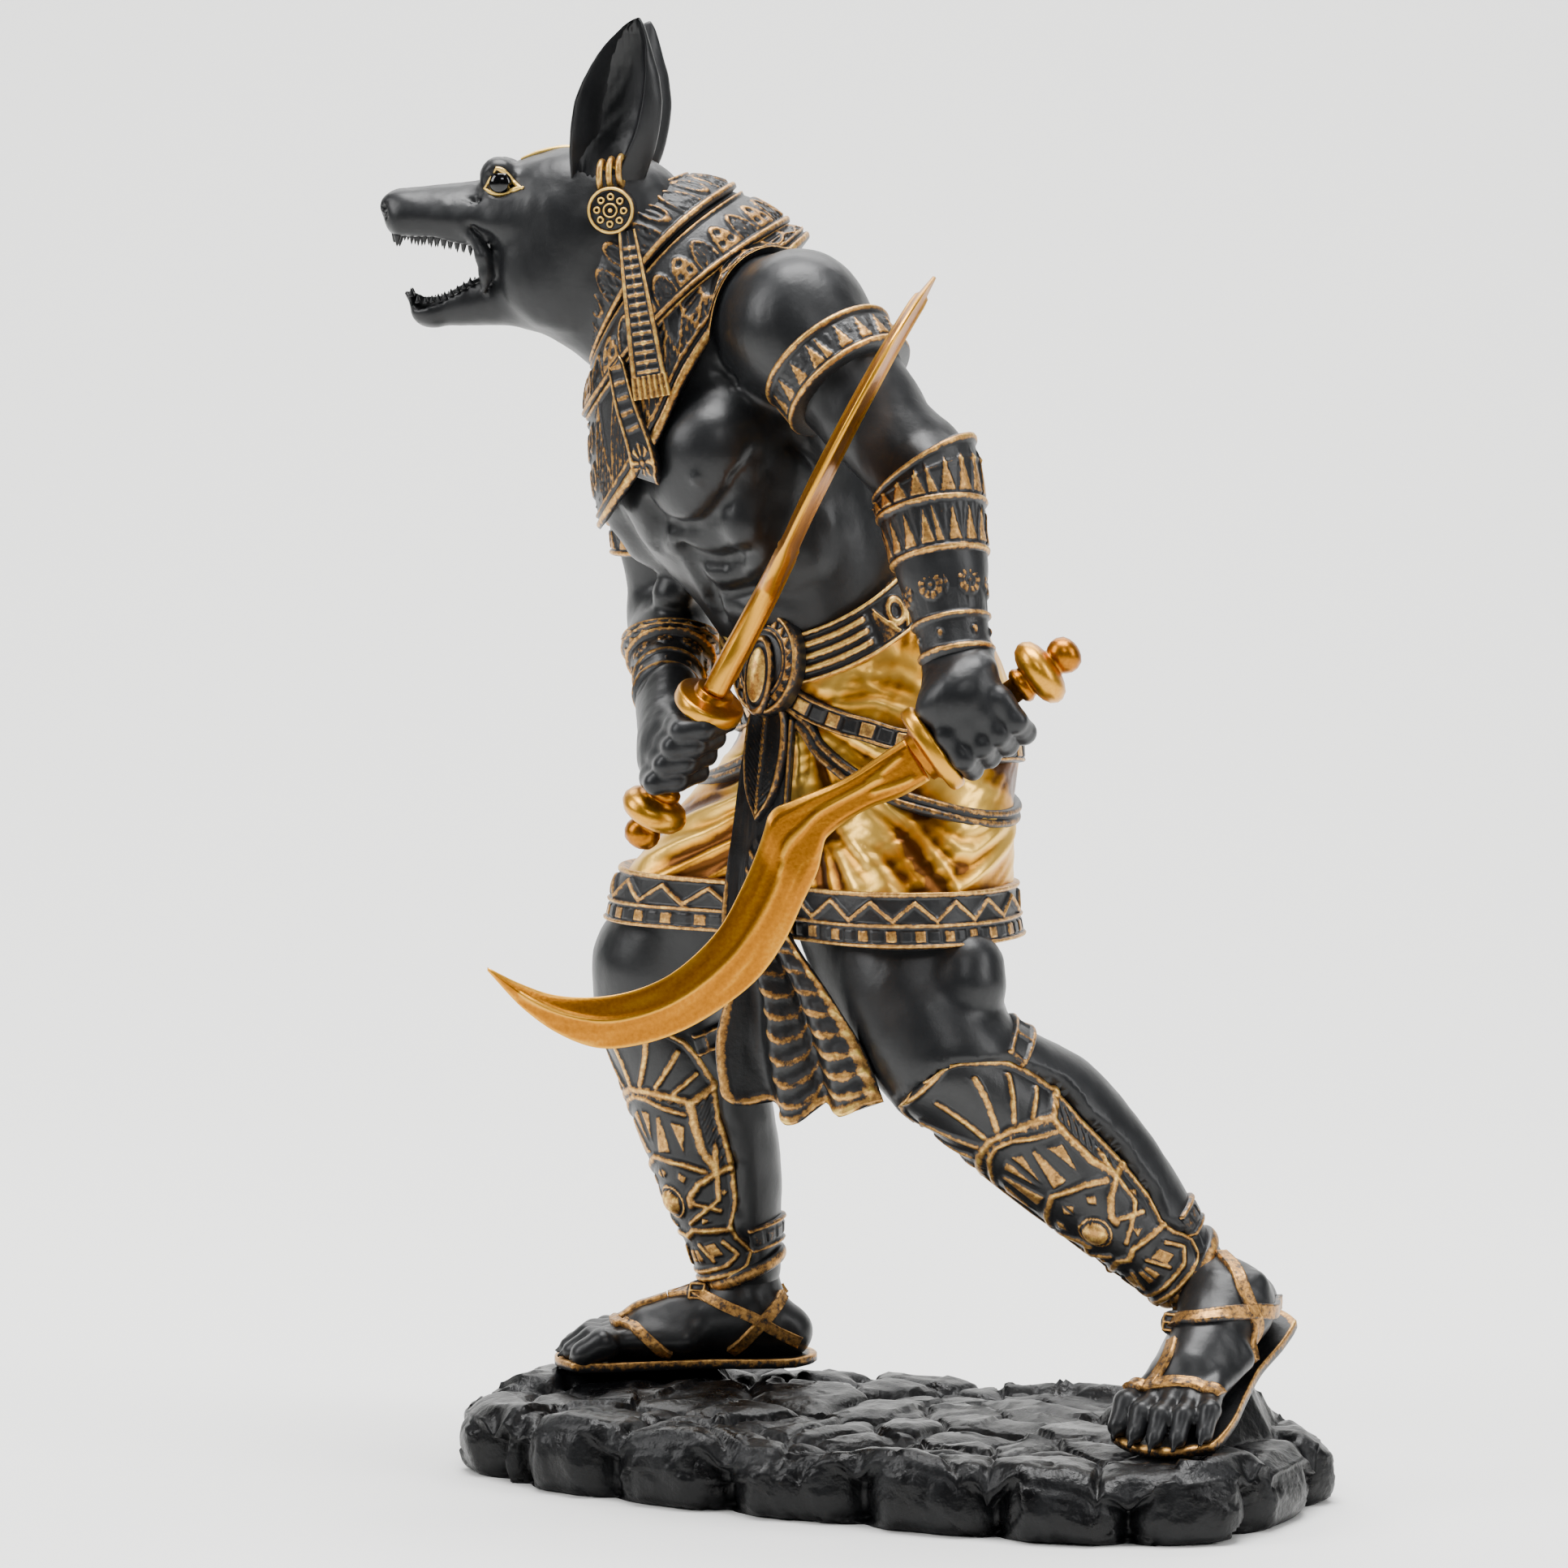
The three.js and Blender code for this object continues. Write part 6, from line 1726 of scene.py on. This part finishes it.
def greave_relief(s, turn, reach, length):
    """The drawing of lines and facets, mirrored about the greave's middle, plus rim, boss, blocks and bars."""
    x, y = np.abs(turn) * arc_mm, s * length
    up = np.zeros(s.shape)
    for line, half in greave_lines:
        d = to_line(x, y, [(a * arc_mm, share * length) for share, a in line])[0]
        up = np.maximum(up, bead(d, half * 1.45))
    gilt = 0.85 * up
    for corners in greave_facets:
        d = inside_of(x, y, [(a * arc_mm, share * length) for share, a in corners])
        up = np.maximum(up, 0.62 * step(0.0, 0.45, d))
        gilt = np.maximum(gilt, 0.74 * step(0.0, 0.4, d))
    edge = (reach - np.abs(turn)) * arc_mm
    ends = bead((s + 0.06) * length - 0.6, 0.7) * (s < 0.0) + bead((1.0 - s) * length - 0.9, 0.8)
    rim = capped(bead(edge - 1.0, 0.95) + ends)
    mid = np.interp(x / arc_mm, [0, 21, 43, 62], [0.225, 0.245, 0.29, 0.33])
    block = (np.abs(tile(x, 1.7)) < 0.5) * (np.abs(s - mid) * length < 0.55) * (x < 9)
    rib = np.interp(s, [0.32, 0.39, 0.5, 0.6], [63, 62, 62, 72])
    bars = bead(tile(y + 1.2 * x, 2.1), 0.62) * (np.abs(turn) > rib + 5) * (edge > 1.8) * (s > 0.3) * (s < 0.58)
    boss = np.hypot(x / 2.5, (s - 0.665) * length / 3.0)
    dome = 2.0 * np.sqrt(np.maximum(1 - boss ** 2, 0)) + 0.5 * bead(boss - 1.15, 0.16)
    height = 0.6 * np.maximum(up, 0.6 * block) + 0.75 * rim + 0.3 * bars
    height = np.where(boss < 1.3, dome, height)
    gilt = capped(np.maximum(np.maximum(gilt, 0.85 * rim), np.maximum(0.5 * block, 0.42 * bars)))
    return height, np.where(boss < 1.3, 0.85 * step(1.3, 1.2, boss) * (1 - bead(boss - 1.0, 0.1)), gilt)


def greave(side):
    """The greave's shell about the shin with its relief, its four edges sunk into the leg."""
    s, v = np.meshgrid(np.linspace(-0.07, 1.005, 160), np.linspace(-1, 1, 134), indexing="ij")
    reach = np.interp(s, greave_reach[:, 0], greave_reach[:, 1])
    along, deep, wide, length = greave_frame(side)
    w, d, ahead = greave_size(s)
    height, gilt = greave_relief(s, v * reach, reach, length)
    edge = (np.abs(v) > 0.9999) | (s <= -0.07) | (s >= 1.005)
    height = np.where(edge, -4.5, height + 0.4)
    a = np.radians(v * reach - 25)
    p = placed(joints[side]["knee"], (s * length, along), (ahead, unit(joints[side]["shin_front"])),
               ((w + height) * np.sin(a), wide), ((d + height) * np.cos(a), deep))
    return p, False, False, dict(gilt=gilt)


def onto(parts):
    """A function that lays points on the clay and also gives the clay's slope there."""
    def project(points):
        points = laid_on(parts, points, 4, 3)
        return points, slope(parts, points)
    return project


def leg_ring(side, share, tilt, half, relief):
    """A strap round the shin, square to it but for a tilt towards the front."""
    own = joints[side]
    along, deep, wide, _ = greave_frame(side)
    hidden = np.interp(share, greave_reach[:, 0], greave_reach[:, 1]) - 8 if share < 0.99 else -1
    a = np.radians(np.linspace(hidden, 360 - hidden, 160) - 25)
    r = 10.5 if share < 0.5 else 8
    path = placed(own["knee"] + share * (own["ankle"] - own["knee"]), (r * np.cos(a), deep + tilt * along),
                  (r * np.sin(a), wide))
    project = onto(flesh[side + "_leg"])
    return strip(*project(path), half, 16, relief, 0.5, 1.4, project)


def boxed_strap(s, x):
    """Two rails joined by cross bars."""
    rail = bead(np.abs(x) - 2.1, 0.55)
    bar = bead(tile(s, 5.2), 0.55) * (np.abs(x) < 2)
    up = capped(rail + 0.8 * bar)
    return 0.65 * up, 0.68 * up


def ankle_strap(s, x):
    """A thin rail above, a wide worn band below, with stitched blocks between."""
    rail = bead(np.abs(x) - 2.2, 0.5)
    block = (np.abs(tile(s, 3.0)) < 1.0) * (np.abs(x) < 1.2)
    return 0.6 * rail + 0.3 * block, 0.75 * rail + 0.35 * block


def worn_roll(s, x):
    """A plain roll of leather, gold where it is worn."""
    roll = bead(x, 1.5)
    return 0.7 * roll, 0.7 * roll


for side in sides:
    worn(side + "_greave", [greave(side)])
    rings = (0.1, -0.1, 2.9, boxed_strap), (0.88, 0.0, 2.9, ankle_strap), (1.0, 0.12, 1.6, worn_roll)
    worn(side + "_leg_bands", [leg_ring(side, *ring) for ring in rings])

# Sandals
# A thin sole with a worn gold rim, and straps over instep, heel and toes. Cast with the feet.


def sole(side):
    """The sole's outline shrunk in rings towards its middle, above and below, with a rounded rim."""
    run, aside, up = foot_compass(side)
    a = np.linspace(0, 2 * np.pi, 160, endpoint=False)
    share, hand = 0.5 + 0.59 * np.cos(a), np.sin(a)
    half = curve_through(np.array([-0.09, 0.0, 0.15, 0.4, 0.62, 0.8, 0.95, 1.06, 1.09]),
                         np.array([7.0, 8.4, 9.0, 8.6, 10.0, 11.4, 11.4, 10.2, 9.4]), share)
    width = half * np.sign(hand) * np.minimum(1, np.abs(hand) * 1.9) ** 0.8
    k = np.array([0.03, 0.5, 0.9, 0.955, 0.985, 1.0, 1.0, 0.985, 0.96, 0.5, 0.03])[:, None]
    level = np.array([0.0, 0.0, 0.0, 0.35, 0.35, 0.0, -1.3, -1.6, -1.7, -1.7, -1.7])[:, None]
    p = placed(soles[side]["heel"], (0.5 + (share - 0.5) * k, run), (width * k, aside), (level + 0 * share, up))
    gilt = np.array([0, 0, 0.1, 0.7, 0.76, 0.66, 0.3, 0.1, 0, 0, 0])[:, None] + 0 * share
    return p, False, True, dict(gilt=gilt)


def foot_strap(side, points, half, relief):
    """A strap laid on the foot through the given points."""
    project = onto(flesh[side + "_foot"])
    path = resample(points, 90)
    return strip(*project(path), half, 12, relief, 0.45, 1.2, project)


def leather(s, x):
    """A flat strap with slightly raised edges, worn to gold along its middle."""
    flat = step(1.0, 0.6, np.abs(x) / 1.9)
    return 0.5 * flat + 0.15 * bead(np.abs(x) - 1.2, 0.35), 0.62 * flat


straps = {
    "left": [([(54.6, -8, 37.5), (54.6, -14, 36.4), (56.0, -17.5, 36.5), (60.5, -23.4, 38.4), (65.9, -22.9, 39.1),
               (71.0, -20.1, 39.1), (76, -12, 38), (78, -2, 38)], 1.7),
             ([(55.5, -24.9, 34.3), (54.3, -28.3, 31.7), (52.1, -29.4, 28.1), (50.3, -31.6, 26.3)], 1.2),
             ([(45.4, -27.5, 25.3), (49.3, -30.5, 26.1), (53.5, -32.4, 27.2), (58.7, -34.5, 27.4),
               (63.9, -37.1, 25.7)], 1.3),
             ([(66, -9, 51), (67.6, -13.6, 47.7), (70.4, -19.6, 41.0), (73.5, -19.5, 33.7), (74, -20, 28)], 1.4)],
    "right": [([(-45, 45, 33), (-39.3, 41.9, 32.6), (-35.9, 38.1, 31.6), (-31.7, 35.9, 29.9), (-27.0, 35.9, 27.9),
                (-22.5, 37.5, 24.9), (-17.2, 39.9, 22.0)], 1.3),
              ([(-19, 41, 33), (-22.5, 38.2, 29.5), (-26.7, 36.1, 25.2), (-31.9, 36.9, 19.0)], 1.3),
              ([(-45, 45, 33), (-39.3, 48.1, 32.6), (-31.7, 54.1, 29.9), (-22.5, 52.5, 24.9),
                (-17.2, 50.1, 22.0)], 1.3),
              ([(-19, 49, 33), (-22.5, 51.8, 29.5), (-26.7, 53.9, 25.2), (-31.9, 53.1, 19.0)], 1.3),
              ([(-53.8, 41.1, 26.3), (-50.0, 36.4, 24.3), (-46.7, 35.7, 21.9), (-43.8, 35.6, 18.0)], 1.2),
              ([(-54.5, 40, 26), (-56, 45, 27), (-54.5, 50, 26), (-50, 54.6, 23.3), (-45.8, 55.4, 18.0)], 1.2),
              ([(-45, 45, 32), (-50, 45, 30), (-56, 45, 28)], 1.1)]}
buckles = {"left": ((55.4, -18.5, 36.6), (-0.55, -0.75, 0.2)), "right": ((-38.5, 40.8, 32.6), (-0.3, -0.85, 0.4))}


def small_buckle(r, a):
    """A square-cornered ring with a bar across."""
    square = r * np.maximum(np.abs(np.cos(a)), np.abs(np.sin(a)))
    up = capped(bead(square - 0.6, 0.16) + bead(r * np.sin(a), 0.12) * (square < 0.6))
    return 0.5 * up, 0.8 * up


for side in sides:
    middle, out = buckles[side]
    worn(side + "_sandal", [sole(side), disc_on(np.array(middle), out, 2.6, 2.6, small_buckle, 20, 48, 0.3)]
         + [foot_strap(side, points, half, leather) for points, half in straps[side]])
